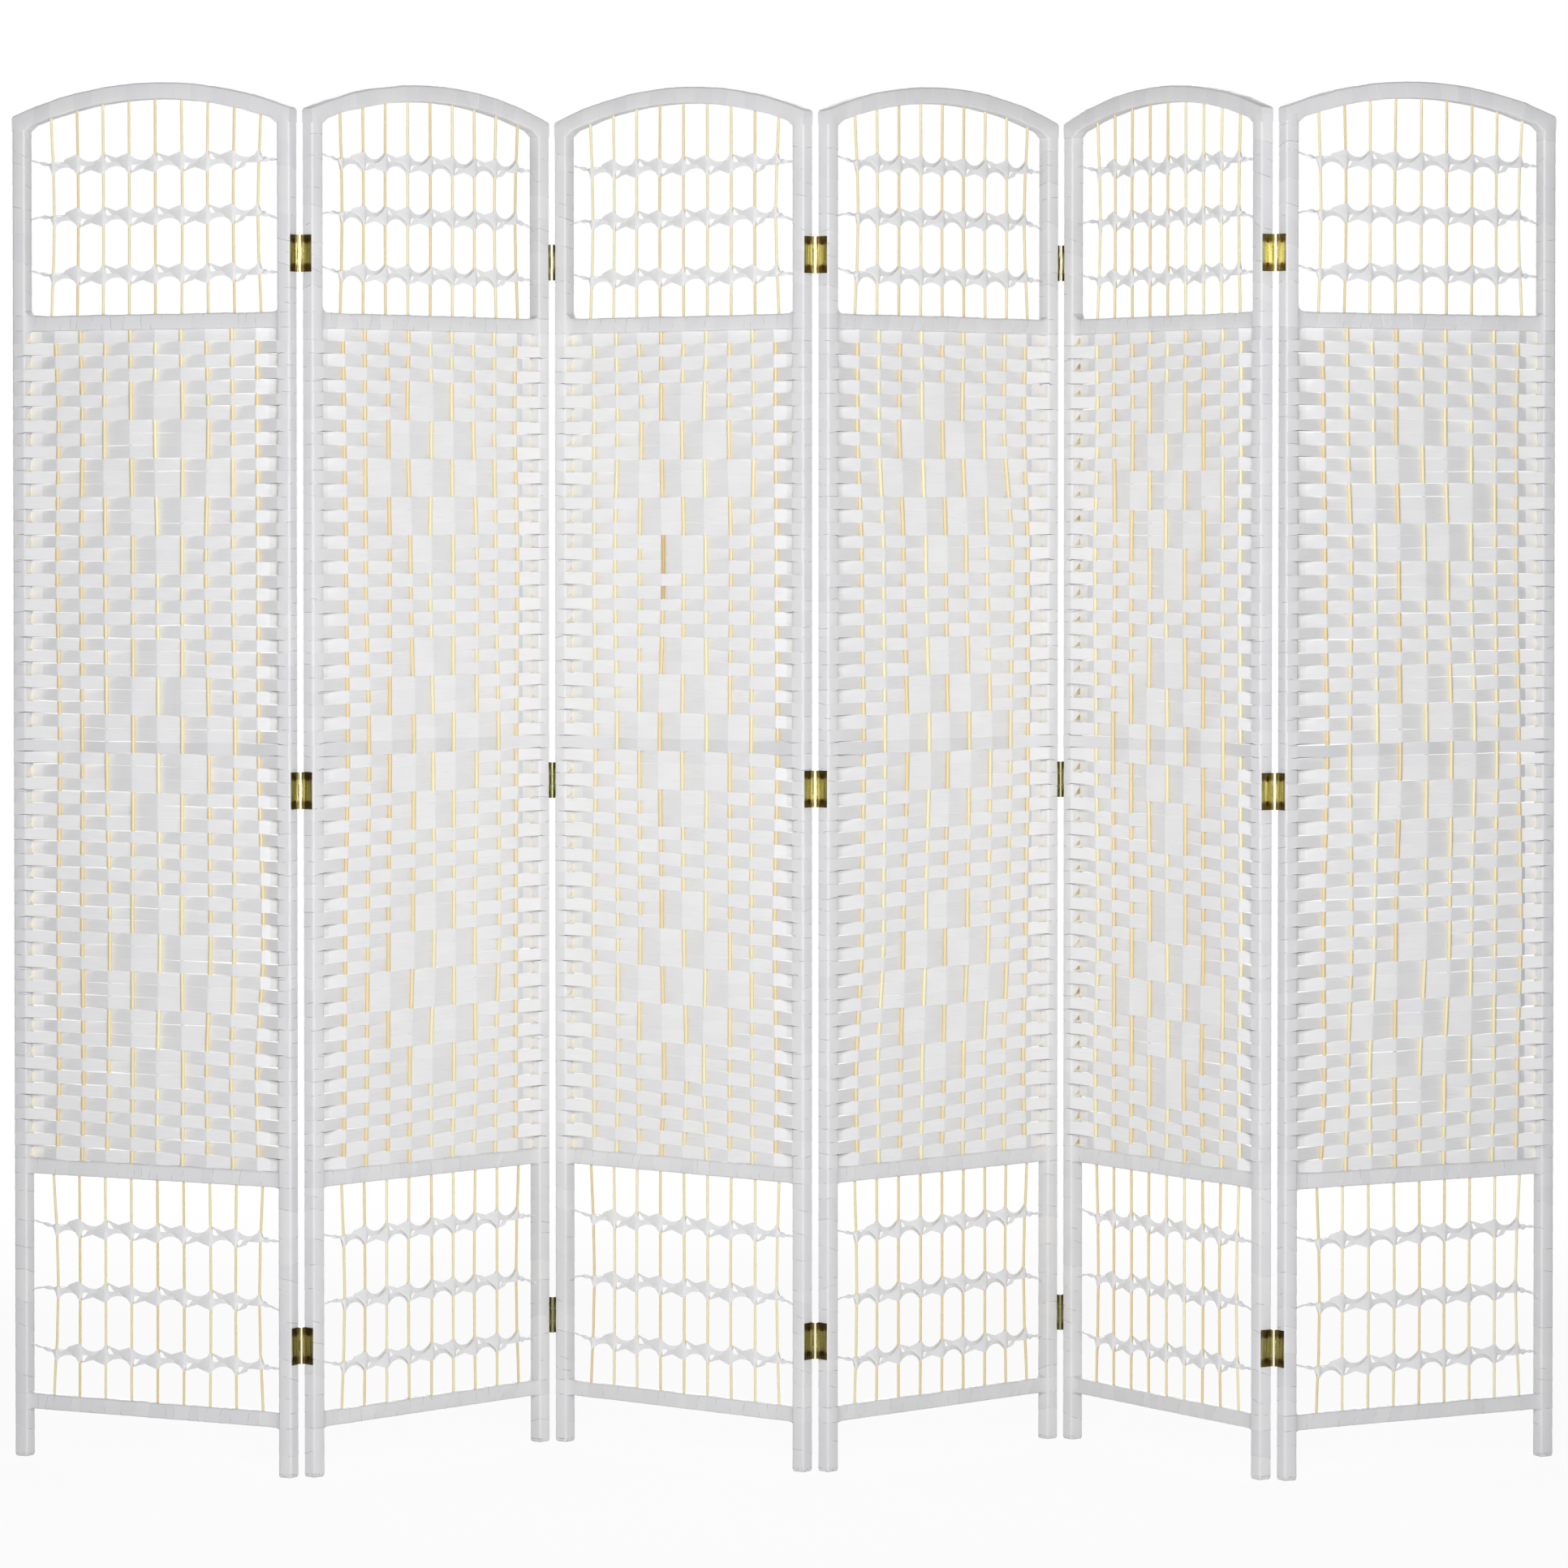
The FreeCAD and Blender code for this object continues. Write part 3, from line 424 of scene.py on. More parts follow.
@dataclass(frozen=True)
class WovenPaper:
    """Bleached kraft paper strip, folded flat and woven taut: chalky white, with faint creases along the strip.
    Their folds are darkened by painted shade.

    An end that lies over a stile is glued down, with a painted shadow under its lower edge that narrows to the tip. An
    end that turns behind it is painted a little warmer, as light bounced warm into the fold. Sizes are in mm, and laps
    are those of Surface.add_tubes.
    """

    name: str = "bleached_paper_strip"
    pale: str = "#EEEEEF"
    shade: str = "#E9E9EB"
    # Painted shade: the crease colour darkens the folds, over the bump's real relief.
    crease_shade: str = "#D2D2D6"
    crease_shade_share: float = 0.3
    crease_length: float = 30.0
    # Real creases are finer. They are drawn as wide as they need to show.
    crease_width: float = 1.6
    crease_depth: float = 0.35
    crease_noise: tuple[float, float] = (0.56, 0.74)
    glued_down: str = "#E4E4E6"
    glued_laps: tuple[float, float] = (0.1, 0.2)
    # Painted shadow: this dark colour stands for the shadow in the gap under a glued end's lower edge.
    gap_shadow_colour: str = "#77757B"
    gap_shadow_width: float = 1.4
    gap_shadow_edge: float = 0.3
    gap_shadow_shares: tuple[float, float] = (0.45, 1.0)
    gap_shadow_starts: tuple[float, float] = (0.03, 0.1)
    gap_shadow_laps: tuple[float, float] = (0.1, 0.85)
    # Painted warm bounce light: this cream colour paints an end that turns behind a stile, as light bounced warm into
    # the fold.
    aged: str = "#F5F0E4"
    warm_bounce_laps: tuple[float, float] = (-0.4, -0.05)
    roughness: tuple[float, float] = (0.6, 0.85)
    bump: float = 0.6

    def make(self) -> bpy.types.Material:
        """Build the material: creases from noise stretched along the strip, with painted shade in them, a tone for each
        stretch of strip, and painted shadow and painted warm bounce light at the ends.

        Returns:
            The material.
        """
        material = bpy.data.materials.new(self.name)
        tree = cleared_tree(material)
        measure = add_node(tree, "UVMap", uv_map=MEASURE)
        across = add_node(tree, "SeparateXYZ", (measure,)).outputs["Y"]
        tone = add_node(tree, "Attribute", attribute_name=TONE).outputs["Fac"]
        lap = add_node(tree, "Attribute", attribute_name=END).outputs["Fac"]
        scale = (1 / self.crease_length, 1 / self.crease_width, 1)
        along = add_node(tree, "Mapping", {"Vector": measure, "Scale": scale})
        streaks = add_node(tree, "TexNoise", {"Vector": along, "Scale": 1.0, "Detail": 3.0, "Roughness": 0.55})
        # Painted shade in the creases, from the stretched noise.
        folds = add_node(tree, "MapRange", (streaks, *self.crease_noise), interpolation_type="SMOOTHSTEP")
        faint = add_node(tree, "Math", (folds, self.crease_shade_share), operation="MULTIPLY")
        # Painted warm bounce light on the ends that turn behind a stile, strongest towards the tip.
        behind = add_node(tree, "MapRange", (lap, *self.warm_bounce_laps, 1.0, 0.0))
        over = add_node(tree, "MapRange", (lap, *self.glued_laps))
        # Painted shadow under a glued end's lower edge, widest by the stile's inner edge and narrowing to the tip.
        taper = add_node(tree, "MapRange", (lap, *self.gap_shadow_laps, self.gap_shadow_width, 0.0))
        uneven = add_node(tree, "MapRange", (tone, 0.0, 1.0, *self.gap_shadow_shares))
        opening = add_node(tree, "Math", (taper, uneven), operation="MULTIPLY")
        under = add_node(tree, "Math", (opening, across), operation="SUBTRACT")
        gap = add_node(tree, "MapRange", (under, 0.0, self.gap_shadow_edge))
        near = add_node(tree, "MapRange", (lap, *self.gap_shadow_starts))
        dark = add_node(tree, "Math", (gap, near), operation="MULTIPLY")
        colour = add_node(tree, "Mix", {0: tone, 6: linear(self.shade), 7: linear(self.pale)}, data_type="RGBA")
        for share, coat in ((faint, self.crease_shade), (behind, self.aged), (over, self.glued_down), (dark, self.gap_shadow_colour)):
            colour = add_node(tree, "Mix", {0: share, 6: colour, 7: linear(coat)}, data_type="RGBA")
        rough = add_node(tree, "MapRange", (streaks, 0.0, 1.0, *self.roughness))
        bump = add_node(tree, "Bump", {"Strength": self.bump, "Distance": self.crease_depth * MM, "Height": streaks})
        shader = add_node(tree, "BsdfPrincipled", {
            "Base Color": colour, "Roughness": rough, "Normal": bump, "IOR": PAPER_IOR})
        add_node(tree, "OutputMaterial", (shader,))
        return material


@dataclass(frozen=True)
class WoundPaper:
    """Paper strip wound and glued round wooden bars: satin white, with broken thin lines where turns overlap.
    These lines are painted shadow under each turn's lower edge.

    Sizes are in mm. The turns stand far apart in the noise that breaks their lines, so that no two break alike.
    """

    pale: str = "#EAEAEB"
    shade: str = "#DCDCDF"
    lap_shadow_colour: str = "#8E8C92"
    worn: str = "#7C766C"
    # The paper's real edge is thinner. Its painted shadow line is drawn as wide as it needs to show.
    lap_shadow_width: float = 0.9
    lap_shadow_break: float = 14.0
    lap_shadow_noise: tuple[float, float] = (0.47, 0.6)
    turns_apart: float = 400.0
    blotch: float = 45.0
    blotch_depth: float = 0.4
    foot_wear: float = 6.0
    wear_share: float = 0.4
    speck: float = 3.0
    speck_noise: tuple[float, float] = (0.52, 0.6)
    roughness: tuple[float, float] = (0.42, 0.68)
    bump: float = 0.35

    def make(self) -> bpy.types.Material:
        """Build the material: painted shadow lines at the lower edge of each turn, soft blotches, and worn specks at
        the feet.

        Returns:
            The material.
        """
        material = bpy.data.materials.new("wound_paper_over_wood")
        tree = cleared_tree(material)
        place = add_node(tree, "TexCoord").outputs["Object"]
        measure = add_node(tree, "SeparateXYZ", (add_node(tree, "UVMap", uv_map=MEASURE),)).outputs
        tone = add_node(tree, "Attribute", attribute_name=TONE).outputs["Fac"]
        strength = add_node(tree, "Attribute", attribute_name=END).outputs["Fac"]
        # Painted shadow under the lower edge of each turn, broken by noise and scaled by each bar's strength.
        edge = add_node(tree, "MapRange", (measure["Y"], 0.0, self.lap_shadow_width, 1.0, 0.0),
                        interpolation_type="SMOOTHSTEP")
        spread = add_node(tree, "CombineXYZ", (measure["X"], tone))
        stretch = add_node(tree, "Mapping", {"Vector": spread, "Scale": (1 / self.lap_shadow_break, self.turns_apart, 1)})
        breaks = add_node(tree, "TexNoise", {"Vector": stretch, "Scale": 1.0, "Detail": 2.0})
        kept = add_node(tree, "MapRange", (breaks, *self.lap_shadow_noise), interpolation_type="SMOOTHSTEP")
        strong = add_node(tree, "Math", (kept, strength), operation="MULTIPLY")
        lines = add_node(tree, "Math", (edge, strong), operation="MULTIPLY")
        blotches = add_node(tree, "TexNoise", {"Vector": place, "Scale": 1 / (self.blotch * MM), "Detail": 3.0})
        shades = add_node(tree, "Math", (blotches, tone), operation="ADD")
        half = add_node(tree, "Math", (shades, 0.5), operation="MULTIPLY")
        height = add_node(tree, "SeparateXYZ", (place,)).outputs["Z"]
        foot = add_node(tree, "MapRange", (height, 0.0, self.foot_wear * MM, self.wear_share, 0.0))
        specks = add_node(tree, "TexNoise", {"Vector": place, "Scale": 1 / (self.speck * MM), "Detail": 2.0})
        rubbed_and_highlight = add_node(tree, "MapRange", (specks, *self.speck_noise))
        wear = add_node(tree, "Math", (foot, rubbed_and_highlight), operation="MULTIPLY")
        colour = add_node(tree, "Mix", {0: half, 6: linear(self.shade), 7: linear(self.pale)}, data_type="RGBA")
        for share, coat in ((lines, self.lap_shadow_colour), (wear, self.worn)):
            colour = add_node(tree, "Mix", {0: share, 6: colour, 7: linear(coat)}, data_type="RGBA")
        rough = add_node(tree, "MapRange", (blotches, 0.0, 1.0, *self.roughness))
        bump = add_node(tree, "Bump", {"Strength": self.bump, "Distance": self.blotch_depth * MM, "Height": blotches})
        shader = add_node(tree, "BsdfPrincipled", {
            "Base Color": colour, "Roughness": rough, "Normal": bump, "IOR": PAPER_IOR})
        add_node(tree, "OutputMaterial", (shader,))
        return material


@dataclass(frozen=True)
class SplitReed:
    """Peeled rattan reed: straw yellow with a soft gloss and fine fibre streaks along its length. Sizes are in mm."""

    name: str = "peeled_rattan_reed"
    straw: str = "#F4EBBF"
    honey: str = "#E8D09A"
    stain: str = "#C9A96C"
    streak_length: float = 55.0
    # Real fibres are finer. They are drawn as wide as they need to show.
    streak_width: float = 1.1
    fibre_depth: float = 0.2
    honey_range: tuple[float, float] = (0.55, 1.4)
    roughness: tuple[float, float] = (0.32, 0.55)
    bump: float = 0.3
    ior: float = 1.5

    def make(self) -> bpy.types.Material:
        """Build the material: streaks stretched along the reed over a tone for each reed, and stained stretches.

        Returns:
            The material.
        """
        material = bpy.data.materials.new(self.name)
        tree = cleared_tree(material)
        measure = add_node(tree, "UVMap", uv_map=MEASURE)
        tone = add_node(tree, "Attribute", attribute_name=TONE).outputs["Fac"]
        stained = add_node(tree, "Attribute", attribute_name=END).outputs["Fac"]
        scale = (1 / self.streak_length, 1 / self.streak_width, 1)
        along = add_node(tree, "Mapping", {"Vector": measure, "Scale": scale})
        streaks = add_node(tree, "TexNoise", {"Vector": along, "Scale": 1.0, "Detail": 4.0})
        mixed = add_node(tree, "Math", (streaks, tone), operation="ADD")
        aged = add_node(tree, "MapRange", (mixed, *self.honey_range))
        clean = add_node(tree, "Mix", {0: aged, 6: linear(self.straw), 7: linear(self.honey)}, data_type="RGBA")
        colour = add_node(tree, "Mix", {0: stained, 6: clean, 7: linear(self.stain)}, data_type="RGBA")
        rough = add_node(tree, "MapRange", (streaks, 0.0, 1.0, *self.roughness))
        bump = add_node(tree, "Bump", {"Strength": self.bump, "Distance": self.fibre_depth * MM, "Height": streaks})
        shader = add_node(tree, "BsdfPrincipled", {
            "Base Color": colour, "Roughness": rough, "Normal": bump, "IOR": self.ior})
        add_node(tree, "OutputMaterial", (shader,))
        return material


@dataclass(frozen=True)
class PressedBrass:
    """Pressed and lacquered brass: olive-gold with drawn streaks, knuckles painted pale as a highlight, tarnished round
    the screws.

    Sizes are in mm. The knuckles at the rear folds are painted olive as shade from the stiles, half as much high up.
    """

    name: str = "lacquered_brass"
    bright: str = "#B4AE80"
    olive: str = "#787147"
    # Painted highlight: this pale cream paints each front knuckle as if it mirrored the lamps. Painted shade: the next
    # colour paints the knuckles at the rear folds olive.
    rubbed_and_highlight: str = "#E6DFBE"
    rear_knuckle_shade: str = "#85835C"
    rear_shade_heights: tuple[float, float] = (900.0, 1450.0)
    rear_shade_shares: tuple[float, float] = (1.0, 0.5)
    tarnish: str = "#463B1C"
    tarnish_share: float = 0.8
    # A real sheet's drawn streaks and grain are finer. They are drawn as coarse as they need to show.
    streak_width: float = 3.0
    streak_length: float = 60.0
    streak_noise: tuple[float, float] = (0.35, 0.65)
    grain: float = 1.5
    grain_depth: float = 0.1
    roughness: tuple[float, float] = (0.2, 0.4)
    bump: float = 0.15
    hinge_levels: tuple[float, ...] = (160.0, 836.0, 1488.0)
    screw_zone: tuple[float, float] = (11.0, 15.0)
    knuckle_radius: float = 2.7

    def make(self, pins: list[tuple[float, float]]) -> bpy.types.Material:
        """Build the material: upright streaks, a painted pale highlight round each pin's line with painted shade at the
        rear pins, and dark ends above and below the middle.

        Args:
            pins: x and y of the hinge lines at rest, in m.

        Returns:
            The material.
        """
        material = bpy.data.materials.new(self.name)
        tree = cleared_tree(material)
        place = add_node(tree, "TexCoord").outputs["Object"]
        x, y, z = add_node(tree, "SeparateXYZ", (place,)).outputs
        scale = [1 / (size * MM) for size in (self.streak_width, self.streak_width, self.streak_length)]
        drawn = add_node(tree, "Mapping", {"Vector": place, "Scale": scale})
        streaks = add_node(tree, "TexNoise", {"Vector": drawn, "Scale": 1.0, "Detail": 3.0})
        grain = add_node(tree, "TexNoise", {"Vector": place, "Scale": 1 / (self.grain * MM), "Detail": 2.0})
        streaky = add_node(tree, "MapRange", (streaks, *self.streak_noise))
        from_middle = self._nearest(tree, [
            add_node(tree, "Math", (z, level * MM), operation="SUBTRACT") for level in self.hinge_levels])
        zone = (edge * MM for edge in self.screw_zone)
        ends = add_node(tree, "MapRange", (from_middle, *zone, 0.0, self.tarnish_share))
        plan = add_node(tree, "CombineXYZ", (x, y))
        from_pin = self._nearest(tree, [
            add_node(tree, "VectorMath", (plan, (*pin, 0.0)), operation="DISTANCE") for pin in pins])
        # Painted highlight round each pin's line, with painted shade at the rear pins, half as strong above 1.45 m.
        knuckle = add_node(tree, "Math", (from_pin, self.knuckle_radius * MM), operation="LESS_THAN")
        rear = add_node(tree, "Math", (y, 0.0), operation="GREATER_THAN")
        heights = (height * MM for height in self.rear_shade_heights)
        low = add_node(tree, "MapRange", (z, *heights, *self.rear_shade_shares))
        kept = add_node(tree, "Math", (rear, low), operation="MULTIPLY")
        ring = add_node(tree, "Mix", {0: kept, 6: linear(self.rubbed_and_highlight), 7: linear(self.rear_knuckle_shade)}, data_type="RGBA")
        gold = add_node(tree, "Mix", {0: streaky, 6: linear(self.olive), 7: linear(self.bright)}, data_type="RGBA")
        dulled = add_node(tree, "Mix", {0: ends, 6: gold, 7: linear(self.tarnish)}, data_type="RGBA")
        colour = add_node(tree, "Mix", {0: knuckle, 6: dulled, 7: ring}, data_type="RGBA")
        rough = add_node(tree, "MapRange", (grain, 0.0, 1.0, *self.roughness))
        bump = add_node(tree, "Bump", {"Strength": self.bump, "Distance": self.grain_depth * MM, "Height": grain})
        shader = add_node(tree, "BsdfPrincipled", {
            "Base Color": colour, "Roughness": rough, "Normal": bump, "Metallic": 1.0})
        add_node(tree, "OutputMaterial", (shader,))
        return material

    def _nearest(self, tree: bpy.types.NodeTree, distances: list[bpy.types.Node]) -> bpy.types.Node:
        """Take the least of some distances, each without its sign.

        Args:
            tree: node tree that takes the nodes.
            distances: nodes that give the distances.

        Returns:
            The node that gives the least one.
        """
        sizes = [add_node(tree, "Math", (distance,), operation="ABSOLUTE") for distance in distances]
        least = sizes[0]
        for size in sizes[1:]:
            least = add_node(tree, "Math", (least, size), operation="MINIMUM")
        return least


@dataclass(frozen=True)
class Wrapping:
    """A paper strip wound round a bar: each turn starts proud at its lap and slopes under the next.

    The plain measure is past the painted lap shadow's width, so that a stretch without laps shows no shadow line.
    """

    turn_height: float = 24.0
    spread: float = 0.55
    slant: float = 1.3
    slope: float = -1.8
    lap: float = 0.3
    plain_measure: float = 5.0
    plain_tone: float = 0.5

    def turns(self, start: float, end: float, rng: np.random.Generator) -> dict[str, np.ndarray]:
        """Wind a stretch of bar with turns of uneven height.

        Args:
            start: where the wound stretch starts, in mm along the bar.
            end: where it ends.
            rng: the panel's random numbers.

        Returns:
            The rings, from rings_at.
        """
        count = max(2, round((end - start) / self.turn_height))
        widths = rng.uniform(1 - self.spread, 1 + self.spread, count)
        laps = start + (end - start) * np.concatenate([[0.0], np.cumsum(widths) / widths.sum()])
        return self.rings_at(laps, rng)

    def rings_at(self, laps: np.ndarray, rng: np.random.Generator) -> dict[str, np.ndarray]:
        """Place the rings of a wound stretch: one at each end and two, under and over, at each lap.

        Args:
            laps: where the turns start and the last one ends, in mm along the bar.
            rng: the panel's random numbers.

        Returns:
            Arrays of one value a ring: along, proud, measure (mm from the turn's lap), lean, pitch and tone.
        """
        count = len(laps) - 1
        leans = self.slope + rng.normal(0.0, self.slant, (2, count + 1)).clip(-2 * self.slant, 2 * self.slant)
        leans[:, [0, -1]] = 0.0
        return {
            "along": np.repeat(laps, 2)[1:-1],
            "proud": np.tile([self.lap, 0.0], count),
            "measure": np.stack([np.zeros(count), np.diff(laps)], axis=1).ravel(),
            "lean": np.repeat(leans[0], 2)[1:-1],
            "pitch": np.repeat(leans[1], 2)[1:-1],
            "tone": np.repeat(rng.random(count), 2),
        }

    def plain(self, along: np.ndarray) -> dict[str, np.ndarray]:
        """Rings without laps, for a stretch that needs its own stations.

        Args:
            along: places of the rings along the bar.

        Returns:
            The same arrays as for a wound stretch.
        """
        level = np.zeros(len(along))
        return {"along": along, "proud": level, "measure": level + self.plain_measure, "lean": level, "pitch": level,
                "tone": level + self.plain_tone}


def join_stretches(*stretches: dict[str, np.ndarray]) -> dict[str, np.ndarray]:
    """Set stretches of rings one after another."""
    return {key: np.concatenate([s[key] for s in stretches]) for key in stretches[0]}


def bar_tube(rings: dict[str, np.ndarray], half_a: np.ndarray, half_b: np.ndarray, middle_a: np.ndarray,
             rounding: float, run: Run, per_corner: int = 4) -> tuple[np.ndarray, np.ndarray, np.ndarray]:
    """Carry a rounded rectangle along a bar: at each ring its half sizes grow by the lap, and the ring leans.

    The ring's points are the rectangle's corner centres plus a quarter circle each. A ring that leans moves
    along the bar in step with the point's place across the section.

    Args:
        rings: arrays of one value a ring, from Wrapping.
        half_a: half size across the panel (upright bar) or in height (bar across), a value a ring.
        half_b: half size in depth, a value a ring.
        middle_a: middle of the section across or in height, a value a ring.
        rounding: radius of the section's corners.
        run: the way the bar runs.
        per_corner: points on each corner's quarter circle.

    Returns:
        Points, measures and tones, ready for Surface.add_tubes.
    """
    quarter = np.linspace(0.0, math.pi / 2, per_corner)
    angles = (np.arange(4)[:, None] * math.pi / 2 + quarter).ravel()
    signs = np.repeat(np.array([[1, 1], [-1, 1], [-1, -1], [1, -1]]), per_corner, axis=0)
    radius = rounding + rings["proud"][:, None]
    a = signs[:, 0] * (half_a[:, None] - rounding) + radius * np.cos(angles)
    b = signs[:, 1] * (half_b[:, None] - rounding) + radius * np.sin(angles)
    along = rings["along"][:, None] + rings["lean"][:, None] * a / half_a[:, None] \
        + rings["pitch"][:, None] * b / half_b[:, None]
    a = a + middle_a[:, None]
    axes = {Run.UPRIGHT: (a, b, along), Run.ACROSS: (along, b, a)}[run]
    points = np.stack(axes, axis=2)[None]
    step = np.hypot(np.diff(a, axis=1, append=a[:, :1]), np.diff(b, axis=1, append=b[:, :1]))
    around = np.concatenate([np.zeros((len(a), 1)), np.cumsum(step, axis=1)], axis=1)
    measure = np.stack([around, np.broadcast_to(rings["measure"][:, None], around.shape)], axis=2)[None]
    return points, measure, rings["tone"][None, :, None]


@dataclass
class WoundFrame:
    """The panel's bars: two stiles, the arched top and three rails, each wound with paper."""

    place: PanelPlace
    rng: np.random.Generator
    finish: bpy.types.Material
    # Painted light and shade on the paper of each stile beside the weave.
    weave_painted_light: tuple[float, float]
    wrapping: Wrapping = Wrapping()
    level_wrapping: Wrapping = Wrapping(slant=0.8, slope=0.0, lap=0.35)
    row_stray: float = 0.8
    rail_wrapping: Wrapping = Wrapping(turn_height=18.0, spread=0.5, slant=1.5, slope=1.5)
    arch_wrapping: Wrapping = Wrapping(turn_height=18.0, spread=0.45, slant=1.5, slope=0.0, lap=0.2)
    # Strength of the painted lap shadow on the stiles, the rails and the arch.
    stile_lap_shadows: float = 1.0
    rail_lap_shadows: float = 0.7
    arch_lap_shadows: float = 0.15
    foot_levels: tuple[float, ...] = (0.0, 0.7, 2.0)
    foot_drawn_in: tuple[float, ...] = (1.0, 0.3, 0.0)
    first_turn: float = 4.0
    web_start: float = 168.0
    web_drop: float = 4.0
    web_margin: float = 2.0
    end_steps: int = 6
    tenon: float = 6.0
    shoulder: float = 1.8
    joint_stations: tuple[float, ...] = (12.0, 7.0, 3.5, 1.5, 0.0)
    joint_margin: float = 3.0
    rail_flare: float = 2.0
    rail_fillets: tuple[float, float] = (8.0, 3.5)
    fillet_shares: tuple[float, float, float] = (0.3, 0.25, 1.0)
    rail_flare_reach: float = 4.0
    rail_depth_flare: float = 0.8
    rail_sway: float = 0.22
    rail_swell: float = 0.5
    sway_knots: int = 24

    def build(self) -> list[bpy.types.Object]:
        """Build the stiles, the arch and the rails."""
        return [self._stiles(), self._arch(), self._rails()]

    def _stiles(self) -> bpy.types.Object:
        """Two upright bars from the floor into the arch's ends, with their feet drawn in a little.

        Returns:
            The new piece.
        """
        surface = Surface()
        top = SIZES.seat + self.tenon
        middle = SIZES.half_width - SIZES.stile_width / 2
        for side, tone in zip((-1, 1), self.weave_painted_light):
            stretches = [self.wrapping.plain(np.array(self.foot_levels))]
            start = self.first_turn
            for underside in SIZES.rail_undersides:
                stretches.append(self._between(start, underside, tone))
                start = underside + SIZES.rail_height
                stretches.append(self.level_wrapping.rings_at(np.array([underside, start]), self.rng))
            stretches.append(self._between(start, top, tone))
            rings = join_stretches(*stretches)
            drawn_in = np.zeros(len(rings["along"]))
            drawn_in[:len(self.foot_drawn_in)] = self.foot_drawn_in
            half = SIZES.stile_width / 2 - drawn_in
            deep = SIZES.stile_depth / 2 - drawn_in
            centre = np.full(len(half), side * middle)
            surface.add_tubes(*bar_tube(rings, half, deep, centre, SIZES.edge_rounding, Run.UPRIGHT), self.stile_lap_shadows)
        return surface.to_piece("wound_stiles", self.place, self.finish, "stiles")

    def _between(self, low: float, high: float, tone: float) -> dict[str, np.ndarray]:
        """Wind a stile between two rails: freely by the open fields, with a lap a strip by the weave.

        Args:
            low: where the stretch starts, in mm above the floor.
            high: where it ends.
            tone: painted light and shade, added to the tone of the turns by the weave.

        Returns:
            The rings, from Wrapping.
        """
        if (low, high) != SIZES.field_span(Field.WEAVE):
            return self.wrapping.turns(low, high, self.rng)
        laps = np.linspace(low, high, SIZES.weave_rows + 1)
        laps[1:-1] += self.rng.normal(0.0, self.row_stray, SIZES.weave_rows - 1)
        rings = self.level_wrapping.rings_at(laps, self.rng)
        # Painted light and shade: the stile's paper by the weave is lightened or darkened.
        rings["tone"] += tone
        return rings

    def _arch(self) -> bpy.types.Object:
        """The arched top: upright slices between the crown arc and the inner arc.

        Near the stiles the inner arc comes down in a small concave web, and over the stiles the crown rounds
        off as a quarter circle down to the stile's outer face.

        Returns:
            The new piece.
        """
        reach = SIZES.half_width
        corner = self.shoulder
        web = np.linspace(self.web_start, SIZES.half_opening, self.end_steps)
        head = reach - corner + corner * np.sin(np.linspace(0.0, math.pi / 2, self.end_steps))
        ends = np.concatenate([web, head])
        wound = self.web_start - self.web_margin
        rings = join_stretches(
            self.arch_wrapping.plain(-ends[::-1]),
            self.arch_wrapping.turns(-wound, wound, self.rng),
            self.arch_wrapping.plain(ends))
        x = np.abs(rings["along"])
        past = np.clip(x - (reach - corner), 0.0, corner)
        top = SIZES.crown(x) - (corner - np.sqrt(corner ** 2 - past ** 2))
        into_web = ease((x - self.web_start) / (SIZES.half_opening - self.web_start))
        under = SIZES.crown(np.minimum(x, SIZES.half_opening), SIZES.arch_depth) - self.web_drop * into_web ** 2
        surface = Surface()
        deep = np.full(len(x), SIZES.stile_depth / 2)
        tube = bar_tube(rings, (top - under) / 2, deep, (top + under) / 2, SIZES.edge_rounding, Run.ACROSS)
        surface.add_tubes(*tube, self.arch_lap_shadows)
        return surface.to_piece("wound_arch", self.place, self.finish, "top_arch")

    def _rails(self) -> bpy.types.Object:
        """Three bars across, which flare into the stiles by an exponential where the paper runs over the joint.

        Returns:
            The new piece.
        """
        surface = Surface()
        reach = SIZES.half_opening
        ends = reach - np.array(self.joint_stations)
        wound = ends[0] - self.joint_margin
        sway_at = np.linspace(-reach, reach, self.sway_knots)
        for underside, fillet_share in zip(SIZES.rail_undersides, self.fillet_shares):
            rings = join_stretches(
                self.rail_wrapping.plain(-ends[::-1]),
                self.rail_wrapping.turns(-wound, wound, self.rng),
                self.rail_wrapping.plain(ends))
            x = rings["along"]
            flare = np.exp(-(reach - np.abs(x)) / self.rail_flare_reach)
            sway = np.interp(x, sway_at, self.rng.normal(0.0, self.rail_sway, self.sway_knots))
            fillet = fillet_share * np.where(x < 0.0, *self.rail_fillets)
            half = SIZES.rail_height / 2 + (self.rail_flare + fillet) / 2 * flare + self.rail_swell * sway
            deep = SIZES.rail_depth / 2 + self.rail_depth_flare * self.rail_flare * flare
            centre = underside + SIZES.rail_height / 2 + (fillet - self.rail_flare) / 2 * flare + sway
            surface.add_tubes(*bar_tube(rings, half, deep, centre, SIZES.edge_rounding, Run.ACROSS), self.rail_lap_shadows)
        return surface.to_piece("wound_rails", self.place, self.finish, "cross_rails")


